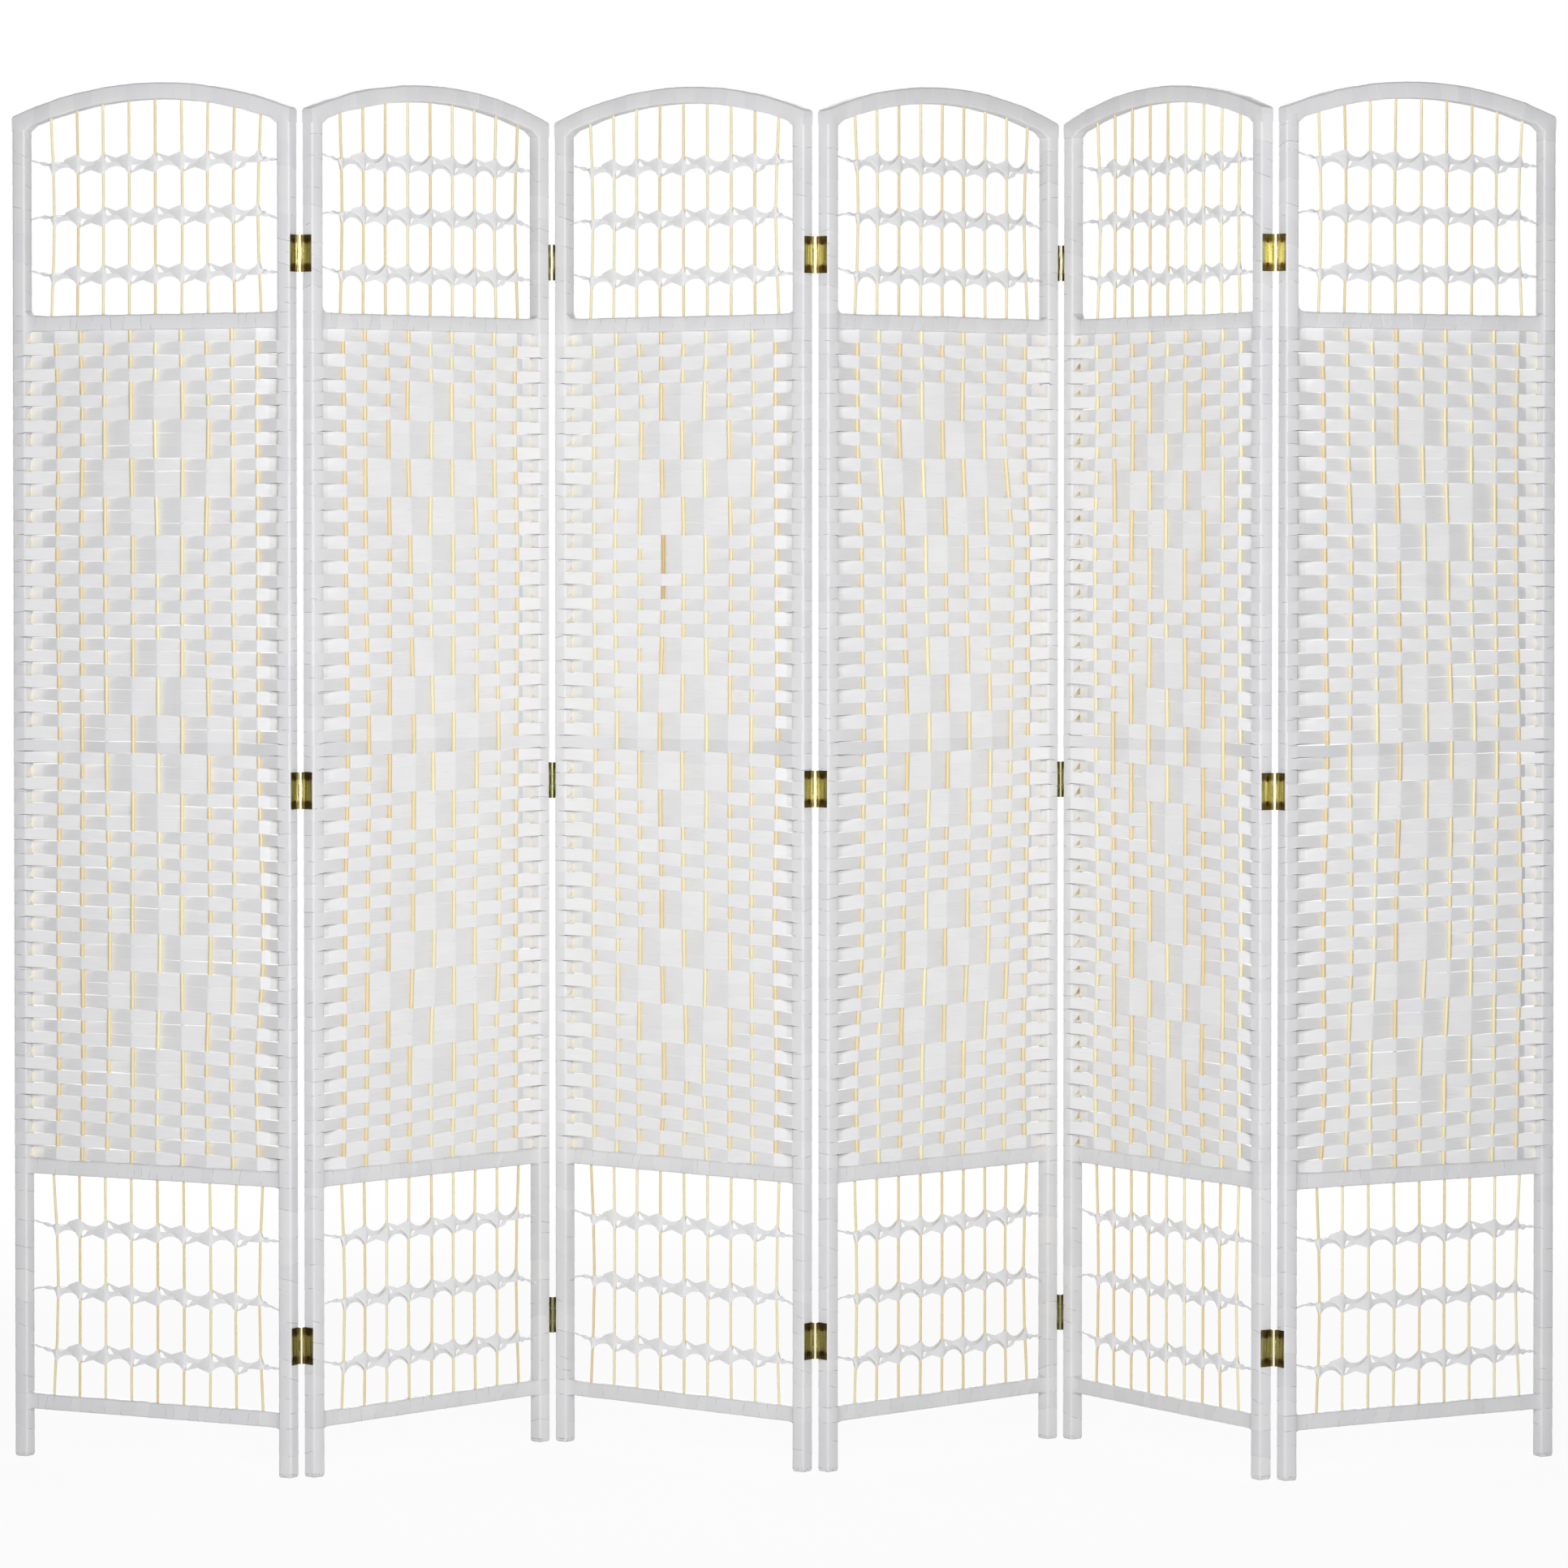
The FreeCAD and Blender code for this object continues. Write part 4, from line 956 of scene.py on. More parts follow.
@dataclass
class ReedLines:
    """How the reeds of one panel stray from straight: a slow drift in the weave, a bow inwards in the open fields."""

    rng: np.random.Generator
    open_spread: float
    weave_bow: float
    last_bow_share: float = 0.35
    aside: float = 3.5
    drift: float = 2.0
    outer_bow: float = 5.0
    next_bow: float = 1.2
    loose_bow: float = 0.7
    bow_shares: tuple[float, float] = (0.7, 1.2)
    knots: tuple[float, ...] = (0.0, 0.1, 0.28, 0.5, 0.72, 0.9, 1.0)
    _drifts: dict[Field, np.ndarray] = field(init=False)

    def __post_init__(self) -> None:
        """Draw the drift at each knot of each reed; the ends stay in their sockets."""
        count = SIZES.reed_count
        shape = (count, len(self.knots))
        inwards = -np.sign(SIZES.reed_lines)
        bow = np.zeros(count)
        bow[[0, -1]] = self.outer_bow
        bow[[1, -2]] = self.next_bow
        profile = np.sin(np.pi * np.array(self.knots))
        carried = np.ones(count)
        carried[-1] = self.last_bow_share
        self._drifts = {Field.WEAVE: self.rng.normal(0.0, self.drift, shape)
                        + self.weave_bow * carried[:, None] * profile ** 2}
        for where in (Field.FOOT, Field.HEAD):
            own = bow * inwards * self.rng.uniform(*self.bow_shares, count)
            own += self.rng.normal(0.0, self.loose_bow, count)
            self._drifts[where] = own[:, None] * profile
        for drift in self._drifts.values():
            drift[:, [0, -1]] = 0.0

    def across(self, where: Field, levels: np.ndarray) -> np.ndarray:
        """Places of all reeds at given levels, eased from knot to knot.

        Args:
            where: the field.
            levels: heights in mm.

        Returns:
            One row a reed, one column a level.
        """
        low, high = SIZES.field_span(where)
        share = np.clip((np.asarray(levels) - low) / (high - low), 0.0, 1.0)
        knots = np.array(self.knots)
        span = np.clip(np.searchsorted(knots, share, side="right") - 1, 0, len(knots) - 2)
        part = ease((share - knots[span]) / (knots[span + 1] - knots[span]))
        drift = self._drifts[where]
        spread = 1.0 if where is Field.WEAVE else self.open_spread
        straight = self.aside + spread * SIZES.reed_lines[:, None]
        return straight + drift[:, span] * (1 - part) + drift[:, span + 1] * part


@dataclass
class ReedSet:
    """The panel's upright reeds: thin ones in the open foot and head, thicker ones in the weave.

    The reeds stand far apart in the measure across, so that no two have the same streaks.
    """

    place: PanelPlace
    rng: np.random.Generator
    finish: bpy.types.Material
    lines: ReedLines
    stained: tuple[int, float, float]
    ring: int = 8
    socket: float = 5.0
    swell: float = 0.05
    reeds_apart: float = 97.0
    stain_share: float = 0.85
    sharp_angle: float = 60.0
    steps: tuple[tuple[Field, int], ...] = ((Field.FOOT, 16), (Field.WEAVE, 60), (Field.HEAD, 14))

    def build(self) -> list[bpy.types.Object]:
        """Build all reeds of the panel as one piece.

        Returns:
            The new piece.
        """
        surface = Surface()
        for where, steps in self.steps:
            surface.add_tubes(*self._field(where, steps))
        return [surface.to_piece("reed_rods", self.place, self.finish, "reeds", self.sharp_angle)]

    def _field(self, where: Field, steps: int) -> tuple[np.ndarray, np.ndarray, np.ndarray, np.ndarray]:
        """Rods of one field: a circle carried up each reed's line, swelling a little along the way.

        Args:
            where: the field.
            steps: rings along each rod.

        Returns:
            Points, measures, tones and stains, ready for Surface.add_tubes.
        """
        low, high = SIZES.field_span(where)
        tops = np.full(SIZES.reed_count, high)
        if where is Field.HEAD:
            tops = SIZES.crown(SIZES.reed_lines, SIZES.arch_depth)
        share = np.linspace(0.0, 1.0, steps)
        z = (low - self.socket) + (tops[:, None] + 2 * self.socket - low) * share
        levels = np.linspace(low - self.socket, high + self.socket, steps)
        x = self.lines.across(where, levels)
        base = SIZES.woven_reed_radius if where is Field.WEAVE else SIZES.open_reed_radius
        radius = base * (1 + self.swell * self.rng.uniform(-1, 1, (SIZES.reed_count, steps)))
        turn = np.arange(self.ring) * 2 * math.pi / self.ring
        points = grid_of(x[:, :, None] + radius[:, :, None] * np.cos(turn),
                         radius[:, :, None] * np.sin(turn), z[:, :, None])
        around = np.arange(self.ring + 1) * 2 * math.pi * base / self.ring
        apart = np.arange(SIZES.reed_count)[:, None, None] * self.reeds_apart
        measure = grid_of(z[:, :, None], around + apart)
        number, foot, top = self.stained
        own = (np.arange(SIZES.reed_count) == number - 1)[:, None]
        stains = np.where(own & (z > foot) & (z < top), self.stain_share, 0.0)
        return points, measure, self.rng.random(SIZES.reed_count)[:, None, None], stains[:, :, None]


@dataclass
class WoodSlivers:
    """Bare wood that shows on the stiles' inner faces, where strips turn to the back and the winding gapes."""

    place: PanelPlace
    rng: np.random.Generator
    finish: bpy.types.Material
    aged: float
    steps: int = 6
    edge: float = 0.3
    set_back: float = 1.6
    set_back_stray: float = 0.5
    reach: float = 12.5
    lift: float = 0.8
    rises: tuple[float, float] = (12.0, 2.4)
    rise_shares: tuple[float, float] = (0.6, 1.1)
    rise_power: float = 1.15
    lower_share: float = 0.3
    proud: float = 0.5
    tones: tuple[float, float] = (0.6, 1.0)
    streak_stretch: float = 2.0
    ends_apart: float = 50.0
    face_measure: float = 3.0

    def build(self, lows: np.ndarray, sides: np.ndarray) -> list[bpy.types.Object]:
        """Build one sliver for each strip end that turns to the back, as one piece.

        Each sliver is a wedge that starts at the front edge of the stile's inner face and opens towards the back, tall
        at left stiles and thin at right ones.

        Args:
            lows: height of each strip end's lower edge, in mm.
            sides: -1 for an end at the left stile, 1 at the right.

        Returns:
            The new piece.
        """
        each = (len(lows), 1, 1)
        low, side = lows.reshape(each), sides.reshape(each)
        share = np.linspace(0.0, 1.0, self.steps)[None, :, None]
        size = self.rng.uniform(*self.rise_shares, each)
        front = -SIZES.stile_depth / 2 + self.set_back + self.rng.normal(0.0, self.set_back_stray, each)
        x = side * (SIZES.half_opening - self.proud * np.array([-1.0, 1.0, 1.0, -1.0]))
        y = front + self.reach * share
        rise = np.where(side < 0, *self.rises) * size * share ** self.rise_power
        upper = np.array([0.0, 0.0, 1.0, 1.0])
        z = low + self.lift + rise * np.where(upper, 1.0, self.lower_share) + self.edge * (2 * upper - 1)
        along = self.streak_stretch * self.reach * share + self.ends_apart * low
        measure = grid_of(along, self.face_measure * np.arange(5))
        tone = self.aged * self.rng.uniform(*self.tones, each) * share
        surface = Surface()
        surface.add_tubes(grid_of(x, y, z), measure, tone)
        return [surface.to_piece("wood_slivers", self.place, self.finish)]


@dataclass
class WovenField:
    """The panel's weave: level paper strips that pass before and behind the reeds in a diamond pattern.

    The front and back values give a strip end's knots from the tip inwards: runs past the stile's inner face, how far
    the end sinks into the winding or its depth beside the stile, and laps. The strips stand far apart in the measure
    along, so that no two have the same creases.
    """

    place: PanelPlace
    rng: np.random.Generator
    finish: bpy.types.Material
    slat_finish: bpy.types.Material
    lines: ReedLines
    handwork: Handwork
    slat_row: int = 32
    strip_thickness: float = 0.6
    slat_thickness: float = 1.2
    front_runs: tuple[float, ...] = (17.4, 15.8, 7.0, 2.0, 0.4)
    front_sinks: tuple[float, ...] = (1.6, 0.1, 0.0, 0.0, 0.2)
    front_laps: tuple[float, ...] = (1.0, 0.9, 0.45, 0.2, 0.1)
    back_runs: tuple[float, float] = (14.0, 2.0)
    back_start: float = 18.0
    back_depths: tuple[float, float, float] = (7.4, 4.0, 3.4)
    back_laps: tuple[float, ...] = (-1.0, -0.8, -0.6, -0.35, 0.0)
    diamond_starts: tuple[int, ...] = (4, 24, 44)
    step_rows: int = 3
    step_reaches: tuple[int, ...] = (1, 2, 3, 2, 1)
    slits: tuple[float, ...] = (0.02, 0.45, 0.95)
    slit_odds: tuple[float, ...] = (0.66, 0.2, 0.14)
    slit_run: float = 0.6
    gapes: tuple[float, ...] = (0.05, 0.9, 1.7)
    gape_odds: tuple[float, ...] = (0.3, 0.4, 0.3)
    gape_reach: float = 0.55
    stray: float = 0.35
    lean: float = 0.25
    crown: float = 0.1
    rows_apart: float = 431.0
    stations: tuple[float, ...] = (0.0, 0.05, 0.12, 0.5, 0.88, 0.95)
    _heights: tuple[np.ndarray, np.ndarray] = field(init=False)

    def __post_init__(self) -> None:
        """Draw the strips' uneven edges once."""
        self._heights = self._edges()

    @property
    def end_knots(self) -> int:
        """Number of knots at each end of a strip."""
        return len(self.front_laps)

    def turned_ends(self) -> tuple[np.ndarray, np.ndarray]:
        """Find the strip ends that turn to the back of a stile.

        Returns:
            Height of each end's lower edge, and its side: -1 for the left stile, 1 for the right.
        """
        turned = ~self._shows()[:, [0, -1]]
        turned[self.slat_row] = False
        lows = self._heights[1][:, [self.end_knots - 1, -self.end_knots]][turned]
        sides = np.broadcast_to(np.array([-1.0, 1.0]), turned.shape)[turned]
        return lows, sides

    def build(self) -> list[bpy.types.Object]:
        """Build the strips as one piece and the stiff slat across the middle as another.

        Returns:
            The two new pieces.
        """
        strips = np.delete(np.arange(SIZES.weave_rows), self.slat_row)
        woven = Surface()
        woven.add_tubes(*self._strips(strips, self.strip_thickness))
        slat = Surface()
        slat.add_tubes(*self._strips(np.array([self.slat_row]), self.slat_thickness))
        return [
            woven.to_piece("woven_strips", self.place, self.finish, "weft_strips"),
            slat.to_piece("mid_slat", self.place, self.slat_finish),
        ]

    def _shows(self) -> np.ndarray:
        """Lay out the pattern: plain weave, with every second reed of a diamond held in front.

        Returns:
            Whether each reed shows in front, a row a strip and a column a reed.
        """
        reeds = np.arange(1, SIZES.reed_count + 1)[None, :]
        rows = np.arange(SIZES.weave_rows)[:, None]
        shows = (reeds + rows) % 2 == 0
        for start in self.diamond_starts:
            for step, reach in enumerate(self.step_reaches):
                first = start + self.handwork.late_rows + step * self.step_rows
                left = (SIZES.reed_count + 1) // 2 - reach
                right = SIZES.reed_count + 1 - left
                inside = (rows >= first) & (rows < first + self.step_rows) & (reeds >= left) & (reeds <= right)
                shows = np.where(inside, (reeds - left) % 2 == 0, shows)
        return shows

    def _edges(self) -> tuple[np.ndarray, np.ndarray]:
        """Upper and lower edge heights of every strip at every knot, with uneven slits between strips.

        A slit gapes at the left end over a strip that turns to the back there, and at the right end under one.

        Returns:
            Two arrays, a row a strip and a column a knot.
        """
        low, high = SIZES.field_span(Field.WEAVE)
        knots = SIZES.reed_count + 2 * self.end_knots
        lines = SIZES.weave_rows + 1
        levels = high - (high - low) * np.arange(lines) / SIZES.weave_rows
        slit = self.rng.choice(self.slits, (lines, knots), p=self.slit_odds)
        slit[:, 1:] = np.where(self.rng.random((lines, knots - 1)) < self.slit_run, slit[:, :-1], slit[:, 1:])
        gape = self.rng.choice(self.gapes, (lines, 1), p=self.gape_odds)
        along = np.linspace(0.0, 1.0, knots)
        over_turned = np.concatenate([~self._shows()[:, :1], [[True]]])
        from_end = np.where(over_turned, along, 1.0 - along)
        slit = self.handwork.slack * (slit + gape * np.clip(1.0 - from_end / self.gape_reach, 0.0, 1.0))
        stray = self.rng.normal(0.0, self.stray, (lines, knots))
        stray += self.rng.normal(0.0, self.stray, (lines, 1))
        stray[[0, -1]] = 0.0
        middle = levels[:, None] + stray
        return (middle - slit / 2)[:-1], (middle + slit / 2)[1:]

    def _strips(self, rows: np.ndarray,
                thickness: float) -> tuple[np.ndarray, np.ndarray, np.ndarray, np.ndarray]:
        """Strips of some rows: a thin flat section carried along a line that runs straight from reed to reed.

        Each knot's depth is just before or behind its reed, so the strip folds there and is flat between.

        Args:
            rows: numbers of the rows, counted down from the upper rail.
            thickness: the strip's thickness.

        Returns:
            Points, measures, tones and laps, ready for Surface.add_tubes.
        """
        upper, lower = (edge[rows] for edge in self._heights)
        shows = self._shows()[rows]
        reeds = self.lines.across(Field.WEAVE, (upper + lower).mean(axis=1) / 2).T
        near = SIZES.woven_reed_radius + SIZES.weave_clearance + thickness / 2
        depth = np.where(shows, near, -near)
        left_x, left_y, left_lap = self._ends(shows[:, :1], thickness)
        right_x, right_y, right_lap = self._ends(shows[:, -1:], thickness)
        x = np.concatenate([-left_x, reeds, right_x[:, ::-1]], axis=1)
        y = np.concatenate([left_y, depth, right_y[:, ::-1]], axis=1)
        lap = np.concatenate([left_lap, np.zeros_like(depth), right_lap[:, ::-1]], axis=1)
        lean = self.rng.normal(0.0, self.lean, y.shape)
        lean[:, :self.end_knots] = lean[:, -self.end_knots:] = 0.0
        tone = self.rng.random(y.shape)
        x, y, lean, lap, tone, upper, lower = (
            between_knots(v, self.stations) for v in (x, y, lean, lap, tone, upper, lower))
        middle = (upper + lower) / 2
        half = thickness / 2
        front = np.stack([y - half - lean, y - half - self.crown, y - half + lean], axis=2)
        back = np.stack([y + half + lean, y + half - self.crown, y + half - lean], axis=2)
        heights = np.stack([lower, middle, upper, upper, middle, lower], axis=2)
        depths = np.concatenate([front, back], axis=2)
        points = grid_of(x[:, :, None], depths, heights)
        tall = upper - lower
        zero = np.zeros_like(tall)
        across = np.stack([zero, tall / 2, tall, tall, tall / 2, zero, zero], axis=2)
        along = x[:, :, None] + rows[:, None, None] * self.rows_apart
        measure = grid_of(along, across)
        return points, measure, tone[:, :, None], lap[:, :, None]

    def _ends(self, reed_shows: np.ndarray, thickness: float) -> tuple[np.ndarray, np.ndarray, np.ndarray]:
        """Knots of the strips' ends at a stile, from the tip inwards.

        An end that comes from behind the outer reed lies on the stile's front and sinks into its winding. An end that
        comes from before the reed meets the stile's inner face, folds along it and lies on the stile's back.

        Args:
            reed_shows: whether the outer reed shows, a row a strip.
            thickness: the strip's thickness.

        Returns:
            Distance from the panel's middle, depth and lap at each knot, a row a strip.
        """
        inner = SIZES.half_opening
        face = SIZES.stile_depth / 2 + SIZES.wrap_clearance + thickness / 2
        over = reed_shows | (thickness == self.slat_thickness)
        side = inner - SIZES.wrap_clearance - thickness / 2
        back_x = np.array([*(inner + run for run in self.back_runs), side, side, inner - self.back_start])
        back_y = np.array([face, face, *self.back_depths])
        x = np.where(over, inner + np.array(self.front_runs), back_x)
        y = np.where(over, np.array(self.front_sinks) - face, back_y)
        lap = np.where(over, np.array(self.front_laps), np.array(self.back_laps))
        return x, y, lap


@dataclass
class TwinedTies:
    """Pairs of paper strips twined round the open reeds: fans over each reed, drawn in between, tails to the stiles.

    Pairs of values for the tails are for the left and the right one.
    """

    place: PanelPlace
    rng: np.random.Generator
    finish: bpy.types.Material
    lines: ReedLines
    foot_shares: tuple[float, ...] = (0.195, 0.478, 0.761)
    head_shares: tuple[float, ...] = (0.213, 0.52, 0.80)
    thickness: float = 0.5
    fan: float = 12.5
    waist_top: float = 3.4
    waist_cross: float = -1.8
    waist_foot: float = -7.0
    top_power: float = 2.3
    low_power: float = 1.5
    rise_power: float = 1.7
    gap_stations: tuple[float, ...] = (0.0, 0.03, 0.07, 0.1, 0.13, 0.19, 0.25, 0.31, 0.4, 0.5,
                                       0.58, 0.66, 0.74, 0.81, 0.87, 0.92, 0.96)
    end_stations: int = 9
    end_reaches: tuple[float, ...] = (1.8, 3.6, 5.5)
    end_heights: tuple[float, ...] = (0.62, 0.3, 0.12)
    end_depths: tuple[float, ...] = (0.75, 0.4, 0.15)
    layers: int = 6
    pleats: int = 3
    pleat: float = 0.3
    tones: tuple[float, float] = (0.75, 1.0)
    tail_steps: int = 22
    tail_ring: int = 8
    tail_start: float = 2.0
    tail_sunk: float = 0.5
    tail_rises: tuple[float, float] = (8.0, -1.0)
    middle_tail_rises: tuple[float, float] = (-3.0, -9.0)
    middle_tail_bow: float = 2.5
    tail_powers: tuple[float, float] = (1.2, 1.4)
    tail_talls: tuple[float, float] = (2.6, 3.8)
    tail_taper: float = 1.3
    tail_tip: float = 0.8
    tail_thins: tuple[float, float] = (0.8, 0.9)
    tail_thinning: float = 0.45
    tail_twist: float = 2.6 * math.pi
    tail_angles: tuple[float, float] = (0.4, 1.1)
    tail_edge_on: float = 0.35
    tail_swings: tuple[float, float] = (0.4, 0.5)
    tail_tone: float = 0.15
    tail_face: float = 1.6
    tail_stretch: float = 2.0

    @property
    def near(self) -> float:
        """Depth of a strip's middle where it passes before or behind a reed."""
        return SIZES.open_reed_radius + SIZES.weave_clearance + self.thickness / 2

    def build(self) -> list[bpy.types.Object]:
        """Build all ties and tails of the panel as one piece.

        Returns:
            The new piece.
        """
        surface = Surface()
        for where, shares in ((Field.FOOT, self.foot_shares), (Field.HEAD, self.head_shares)):
            low, high = SIZES.field_span(where)
            for row, share in enumerate(shares):
                level = low + (high - low) * share
                reeds = self.lines.across(where, np.array([level]))[:, 0]
                surface.add_tubes(*self._pair(reeds, level))
                surface.add_tubes(*self._tails(reeds, level, row == 1))
        return [surface.to_piece("twined_ties", self.place, self.finish, "lattice_ties")]

    def _gap(self) -> dict[str, np.ndarray]:
        """Edges and depth of the two strips between one reed and the next, at the gap's stations.

        The strip that leaves the reed in front keeps a round upper edge and draws its lower edge up at once, which
        leaves a small hole under it. The other comes out below it with a straight lower edge, rises past the waist
        to the front and fans out over the next reed.

        Returns:
            Per strip the upper edge, lower edge and depth at each station.
        """
        s = np.array(self.gap_stations)
        away = np.abs(2 * s - 1)
        right = np.clip(2 * s - 1, 0.0, 1.0)
        cross = self.waist_cross
        pinched = np.interp(s, [0.0, 0.06, 0.1, 0.15, 0.2, 0.5], [-1.0, -0.75, -0.55, -0.4, -0.3, 0.0])
        swing = self.near * np.where(s < 0.5, pinched, 2 * ease(s) - 1)
        hole_top = np.interp(s, [0.0, 0.07, 0.13, 0.19], [-self.fan, -8.0, -1.6, cross])
        hole_foot = np.interp(s, [0.0, 0.03, 0.07, 0.19, 0.31, 0.5], [self.fan, -5.0, -10.2, -7.0, cross, cross + 1.0])
        return {
            "front_top": self.waist_top + (self.fan - self.waist_top) * away ** self.top_power,
            "front_low": np.where(s < 0.5, hole_top, cross - (self.fan + cross) * right ** self.low_power),
            "front_y": swing,
            "back_top": np.where(s < 0.5, hole_foot, cross + (self.fan - cross) * right ** self.rise_power),
            "back_low": self.waist_foot - (self.fan + self.waist_foot) * away,
            "back_y": -swing,
        }

    def _pair(self, reeds: np.ndarray, level: float) -> tuple[np.ndarray, np.ndarray, np.ndarray]:
        """The two twined strips of one tie, from the first reed to the last.

        From each reed to the next the strips change places, and every second gap is the first one upside down.

        Args:
            reeds: places of the reeds at this level.
            level: height of the tie.

        Returns:
            Points, measures and tones, ready for Surface.add_tubes.
        """
        gap = self._gap()
        even = (np.arange(len(reeds) - 1) % 2 == 1)[:, None]
        over_last = {"top": (self.fan, self.fan), "low": (-self.fan, -self.fan), "y": (self.near, -self.near)}

        def both(name: str, flipped: str, sign: float) -> np.ndarray:
            """One edge or depth of both strips over all gaps.

            Args:
                name: the edge or depth.
                flipped: what stands for it where the gap is upside down.
                sign: its sign there.

            Returns:
                A row a strip.
            """
            first = np.where(even, gap[f"front_{name}"], sign * gap[f"back_{flipped}"])
            second = np.where(even, gap[f"back_{name}"], sign * gap[f"front_{flipped}"])
            return np.column_stack([np.stack([first.ravel(), second.ravel()]), over_last[name]])

        x = (reeds[:-1, None] + np.diff(reeds)[:, None] * np.array(self.gap_stations)).ravel()
        x, top, low, depth = self._closed_ends(
            np.append(x, reeds[-1]), both("top", "low", -1.0), both("low", "top", -1.0), both("y", "y", 1.0))
        share = np.linspace(0.0, 1.0, self.layers)
        across = low[:, :, None] + (top - low)[:, :, None] * share
        fullness = ((top - low) / (2 * self.fan))[:, :, None]
        folds = self.pleat * fullness * np.cos(self.pleats * math.pi * share)
        front = depth[:, :, None] - self.thickness / 2 + folds
        back = depth[:, :, None] + self.thickness / 2 + folds
        heights = level + np.concatenate([across, across[:, :, ::-1]], axis=2)
        depths = np.concatenate([front, back[:, :, ::-1]], axis=2)
        points = grid_of(x[None, :, None], depths, heights)
        ring = np.concatenate([share, share[::-1], share[:1]]) * 2 * self.fan
        along = np.broadcast_to(x[None, :, None] + level, (2, len(x), 1))
        measure = grid_of(along, ring[None, None, :])
        return points, measure, self.rng.uniform(*self.tones, (2, 1, 1))

    def _closed_ends(self, x: np.ndarray, top: np.ndarray, low: np.ndarray,
                     depth: np.ndarray) -> tuple[np.ndarray, np.ndarray, np.ndarray, np.ndarray]:
        """Draw both ends in to the tail, past the outer reeds.

        The left end has no upper fan and the right end no lower one.

        Args:
            x: places of the stations.
            top: upper edges, a row a strip.
            low: lower edges.
            depth: depths.

        Returns:
            The same four arrays with the stations of both ends added.
        """
        reach = np.array(self.end_reaches)
        first, last = slice(0, self.end_stations), slice(-self.end_stations, None)
        top[:, first] = np.minimum(top[:, first], self.waist_top)
        low[:, first] = np.minimum(low[:, first], top[:, first] - self.thickness)
        low[:, last] = np.maximum(low[:, last], -self.waist_top)
        top[:, last] = np.maximum(top[:, last], low[:, last] + self.thickness)
        x = np.concatenate([x[0] - reach[::-1], x, x[-1] + reach])

        def ends(rows: np.ndarray, shares: tuple[float, ...]) -> np.ndarray:
            """Continue each row on both sides, shrinking towards the tail."""
            by = np.array(shares)
            return np.concatenate([rows[:, :1] * by[::-1], rows, rows[:, -1:] * by], axis=1)

        return x, ends(top, self.end_heights), ends(low, self.end_heights), ends(depth, self.end_depths)

    def _tails(self, reeds: np.ndarray, level: float, middle: bool) -> tuple[np.ndarray, np.ndarray, np.ndarray]:
        """Twisted tails from the outer reeds to the stiles: a flat oval that tapers and turns along its line.

        Args:
            reeds: places of the reeds at this level.
            level: height of the tie.
            middle: whether it is the middle tie of its field, whose tails both fall.

        Returns:
            Points, measures and tones, ready for Surface.add_tubes.
        """
        share = np.linspace(0.0, 1.0, self.tail_steps)
        outwards = np.array([-1.0, 1.0])[:, None]
        start = reeds[[0, -1]][:, None] + outwards * self.tail_start
        x = start + (outwards * (SIZES.half_opening + self.tail_sunk) - start) * share
        rises = self.middle_tail_rises if middle else self.tail_rises
        z = level + np.array(rises)[:, None] * share ** np.array(self.tail_powers)[:, None]
        if middle:
            z[0] += self.middle_tail_bow * np.sin(math.pi * share)
        tall = np.array(self.tail_talls)[:, None] * (1 - share) ** self.tail_taper + self.tail_tip
        thin = np.array(self.tail_thins)[:, None] * (1 - self.tail_thinning * share)
        turn = np.arange(self.tail_ring) * 2 * math.pi / self.tail_ring
        twist = self.tail_twist * share[None, :, None] + np.array(self.tail_angles)[:, None, None]
        a, b = tall[:, :, None] * np.cos(turn), thin[:, :, None] * np.sin(turn)
        flat = self.tail_edge_on + (1 - self.tail_edge_on) * np.abs(np.cos(twist))
        y = a * np.sin(twist) * self.tail_swings[0] + b * flat
        z = z[:, :, None] + a * flat + b * np.sin(twist) * self.tail_swings[1]
        points = grid_of(x[:, :, None], y, z)
        around = np.arange(self.tail_ring + 1) * self.tail_face
        measure = grid_of(x[:, :, None] * self.tail_stretch, around[None, None, :])
        return points, measure, np.full((2, 1, 1), self.tail_tone)


@dataclass
class HingeSet:
    """The CAD's own hinge leaves, pins and screws, dressed as brass."""

    leaves: bpy.types.Material
    screws: bpy.types.Material

    def dress(self) -> list[bpy.types.Object]:
        """Give every hinge node its brass, in all of its material slots.

        Returns:
            The dressed nodes.
        """
        dressed = []
        for name, node in frame["nodes"].items():
            if name.startswith("hinge_"):
                material = self.leaves
            elif name.endswith("_hinge_screws"):
                material = self.screws
            else:
                continue
            if not node.material_slots:
                node.data.materials.append(material)
            for slot in node.material_slots:
                slot.material = material
            dressed.append(node)
        return dressed


@dataclass(frozen=True)
class Lamp:
    """A studio lamp aimed at the object: a sun, or a soft square where it has a distance.

    The strength is in W/m2 for a sun and in W for a square, the spread in degrees or in m. The height above level and
    the side, counted from the camera's towards the right, are in degrees, and the distance is in m.
    """

    name: str
    strength: float
    spread: float
    height: float
    side: float
    distance: float = 0.0


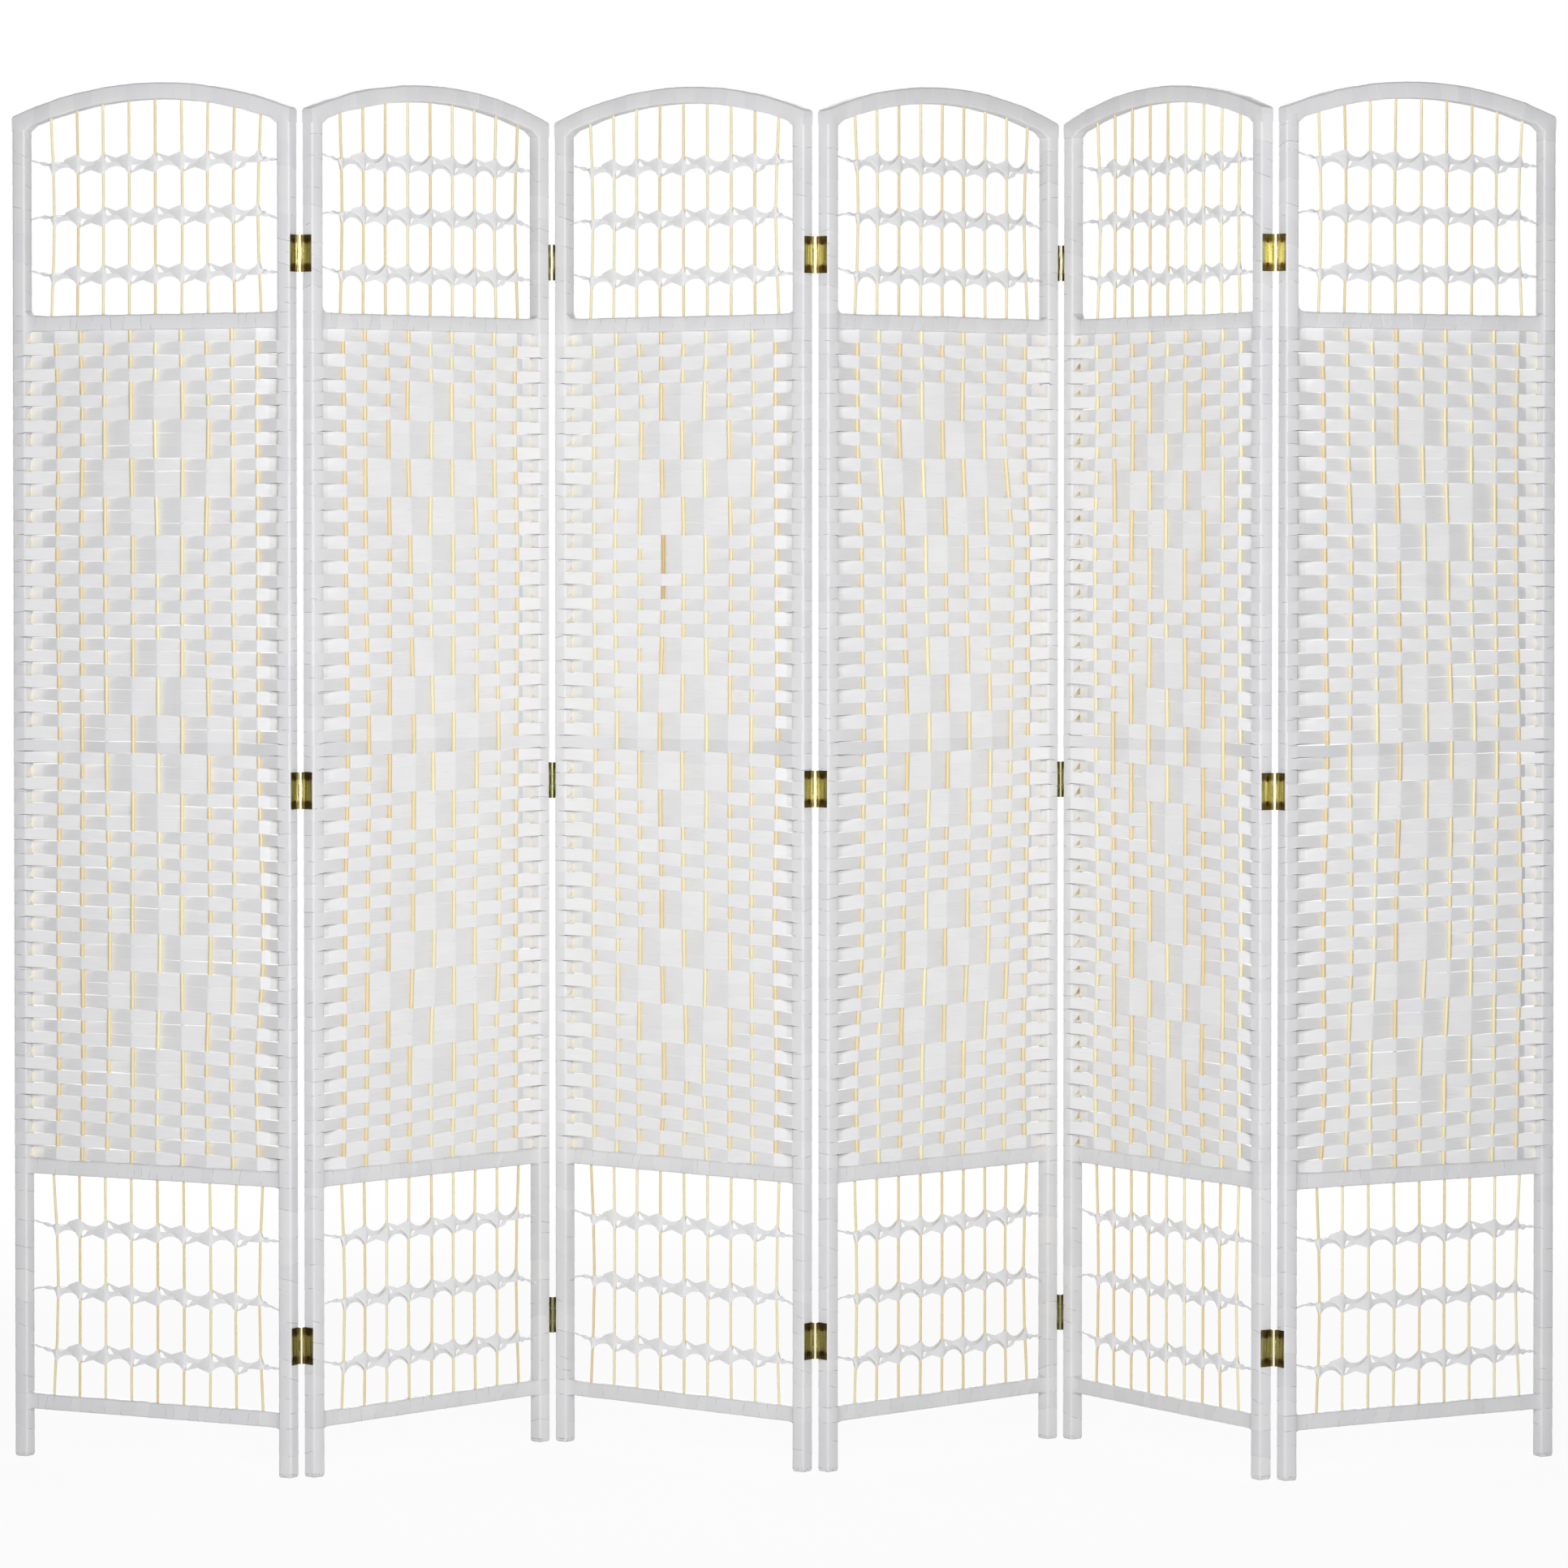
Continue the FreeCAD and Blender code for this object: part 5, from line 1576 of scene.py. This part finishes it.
@dataclass(frozen=True)
class Studio:
    """White studio: a floor, soft light from all round, a broad key from the camera's side, and the camera."""

    image_px: float = 1932.0
    focal_px: float = 7409.8
    axis_row_px: float = 770.0
    sensor_mm: float = 36.0
    camera_at: tuple[float, float, float] = (0.0003, -7.441, 1.184)
    camera_pitch: float = 0.0201
    ambient: float = 0.1
    lit_point: tuple[float, float, float] = (0.0, 0.0, 0.95)
    lamps: tuple[Lamp, ...] = (
        Lamp("soft_key", 109.0, 1.5, 6.0, 0.0, 4.0),
        Lamp("left_fill", 0.1, 30.0, 12.0, -45.0),
        Lamp("right_fill", 0.1, 30.0, 12.0, 45.0),
        Lamp("back_fill", 1.8, 40.0, 18.0, 180.0),
    )
    floor_half: float = 40.0
    floor_colour: str = "#F2F2F2"
    shadow_share: float = 0.07
    shadow_reach: tuple[float, float] = (1.1, 3.2)

    def build(self) -> None:
        """Set up the camera, the world, the lamps and the floor."""
        self._camera()
        self._world()
        self._lamps()
        self._floor()
        bpy.context.scene.view_settings.view_transform = "Standard"

    def _camera(self) -> None:
        """Camera at the photograph's place; the shift puts the optical axis at the row where it met the picture."""
        data = bpy.data.cameras.new("photo_camera")
        data.sensor_width = self.sensor_mm
        data.lens = self.focal_px / self.image_px * self.sensor_mm
        data.shift_y = (self.axis_row_px - self.image_px / 2) / self.image_px
        camera = bpy.data.objects.new("photo_camera", data)
        camera.location = self.camera_at
        camera.rotation_euler = (math.pi / 2 - self.camera_pitch, 0.0, 0.0)
        bpy.context.scene.collection.objects.link(camera)
        bpy.context.scene.camera = camera

    def _seen(self, tree: bpy.types.NodeTree) -> bpy.types.Node:
        """Tell rays from the camera, a mirror or glass from light that falls on the object.

        Args:
            tree: node tree that takes the nodes.

        Returns:
            A node that gives 1 for a ray that sees and 0 for one that lights.
        """
        path = add_node(tree, "LightPath").outputs
        first = add_node(tree, "Math", (path["Is Camera Ray"], path["Is Glossy Ray"]), operation="MAXIMUM")
        return add_node(tree, "Math", (first, path["Is Transmission Ray"]), operation="MAXIMUM")

    def _world(self) -> None:
        """White where it is seen, and a softer white where it lights the object."""
        world = bpy.data.worlds.new("white_studio")
        tree = cleared_tree(world)
        light = add_node(tree, "Background", {"Color": linear(WHITE), "Strength": self.ambient})
        white = add_node(tree, "Background", {"Color": linear(WHITE), "Strength": 1.0})
        mix = add_node(tree, "MixShader", (self._seen(tree), light, white))
        add_node(tree, "OutputWorld", (mix,))
        bpy.context.scene.world = world

    def _lamps(self) -> None:
        """Place the lamps round the object: a near soft square in front, and suns that fill the sides and the back."""
        for lamp in self.lamps:
            kind = "AREA" if lamp.distance else "SUN"
            data = bpy.data.lights.new(lamp.name, kind)
            data.energy = lamp.strength
            if lamp.distance:
                data.size = lamp.spread
            else:
                data.angle = math.radians(lamp.spread)
            lifted, turned = math.radians(lamp.height), math.radians(lamp.side)
            level = math.cos(lifted)
            beam = np.array([-math.sin(turned) * level, math.cos(turned) * level, -math.sin(lifted)])
            body = bpy.data.objects.new(lamp.name, data)
            body.location = np.array(self.lit_point) - beam * lamp.distance
            body.rotation_euler = (math.pi / 2 - lifted, 0.0, turned)
            body.visible_camera = False
            bpy.context.scene.collection.objects.link(body)

    def _floor(self) -> None:
        """A level white floor that keeps part of the object's shadow, the less the further from the object."""
        half = self.floor_half
        corners = np.array([[-half, -half, 0], [half, -half, 0], [half, half, 0], [-half, half, 0]])
        mesh = bpy.data.meshes.new("studio_floor")
        mesh.from_pydata(corners, [], np.array([[0, 1, 2, 3]]))
        material = bpy.data.materials.new("white_studio_floor")
        tree = cleared_tree(material)
        paint = add_node(tree, "BsdfDiffuse", {"Color": linear(self.floor_colour)})
        white = add_node(tree, "Emission", {"Color": linear(WHITE), "Strength": 1.0})
        away = add_node(tree, "VectorMath", (add_node(tree, "TexCoord").outputs["Object"],), operation="LENGTH")
        fade = add_node(tree, "MapRange", (away, *self.shadow_reach, 1 - self.shadow_share, 1.0),
                        interpolation_type="SMOOTHSTEP")
        share = add_node(tree, "Math", (self._seen(tree), fade), operation="MULTIPLY")
        mix = add_node(tree, "MixShader", (share, paint, white))
        add_node(tree, "OutputMaterial", (mix,))
        mesh.materials.append(material)
        floor = bpy.data.objects.new("studio_floor", mesh)
        bpy.context.scene.collection.objects.link(floor)


def main() -> None:
    """Build the studio, dress the panels and the hinges, and report each piece."""
    logging.basicConfig(level=logging.INFO, format="%(name)s: %(message)s")
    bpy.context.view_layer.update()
    Studio().build()
    wound, woven, reed = WoundPaper().make(), WovenPaper().make(), SplitReed().make()
    slat = WovenPaper("paper_covered_slat", pale="#E6E6E8", shade="#DFDFE2").make()
    sliver = SplitReed("bare_wood_sliver", straw="#F3EBCB", honey="#8F7440").make()
    pieces = []
    for place, handwork in zip(panel_places(frame["record"]), HANDWORK):
        rng = np.random.default_rng(SEED + place.number)
        lines = ReedLines(rng, handwork.open_spread, handwork.weave_bow)
        pieces += WoundFrame(place, rng, wound, handwork.stile_painted_light).build()
        pieces += ReedSet(place, rng, reed, lines, handwork.stained).build()
        weave = WovenField(place, rng, woven, slat, lines, handwork)
        pieces += weave.build()
        pieces += WoodSlivers(place, rng, sliver, handwork.aged).build(*weave.turned_ends())
        pieces += TwinedTies(place, rng, woven, lines).build()
    pins = [tuple(joint["pos_m"][:2]) for joint in frame["record"]["behaviour"]["joints"]]
    leaf = PressedBrass().make(pins)
    screw = PressedBrass("worn_brass_screw", bright="#7A5A34", olive="#3A200E", tarnish_share=0.0).make(pins)
    pieces += HingeSet(leaf, screw).dress()
    for piece in pieces:
        LOG.info("%s: %d faces, %s", piece.name, len(piece.data.polygons), piece.data.materials[0].name)


if __name__ == "__main__":
    main()
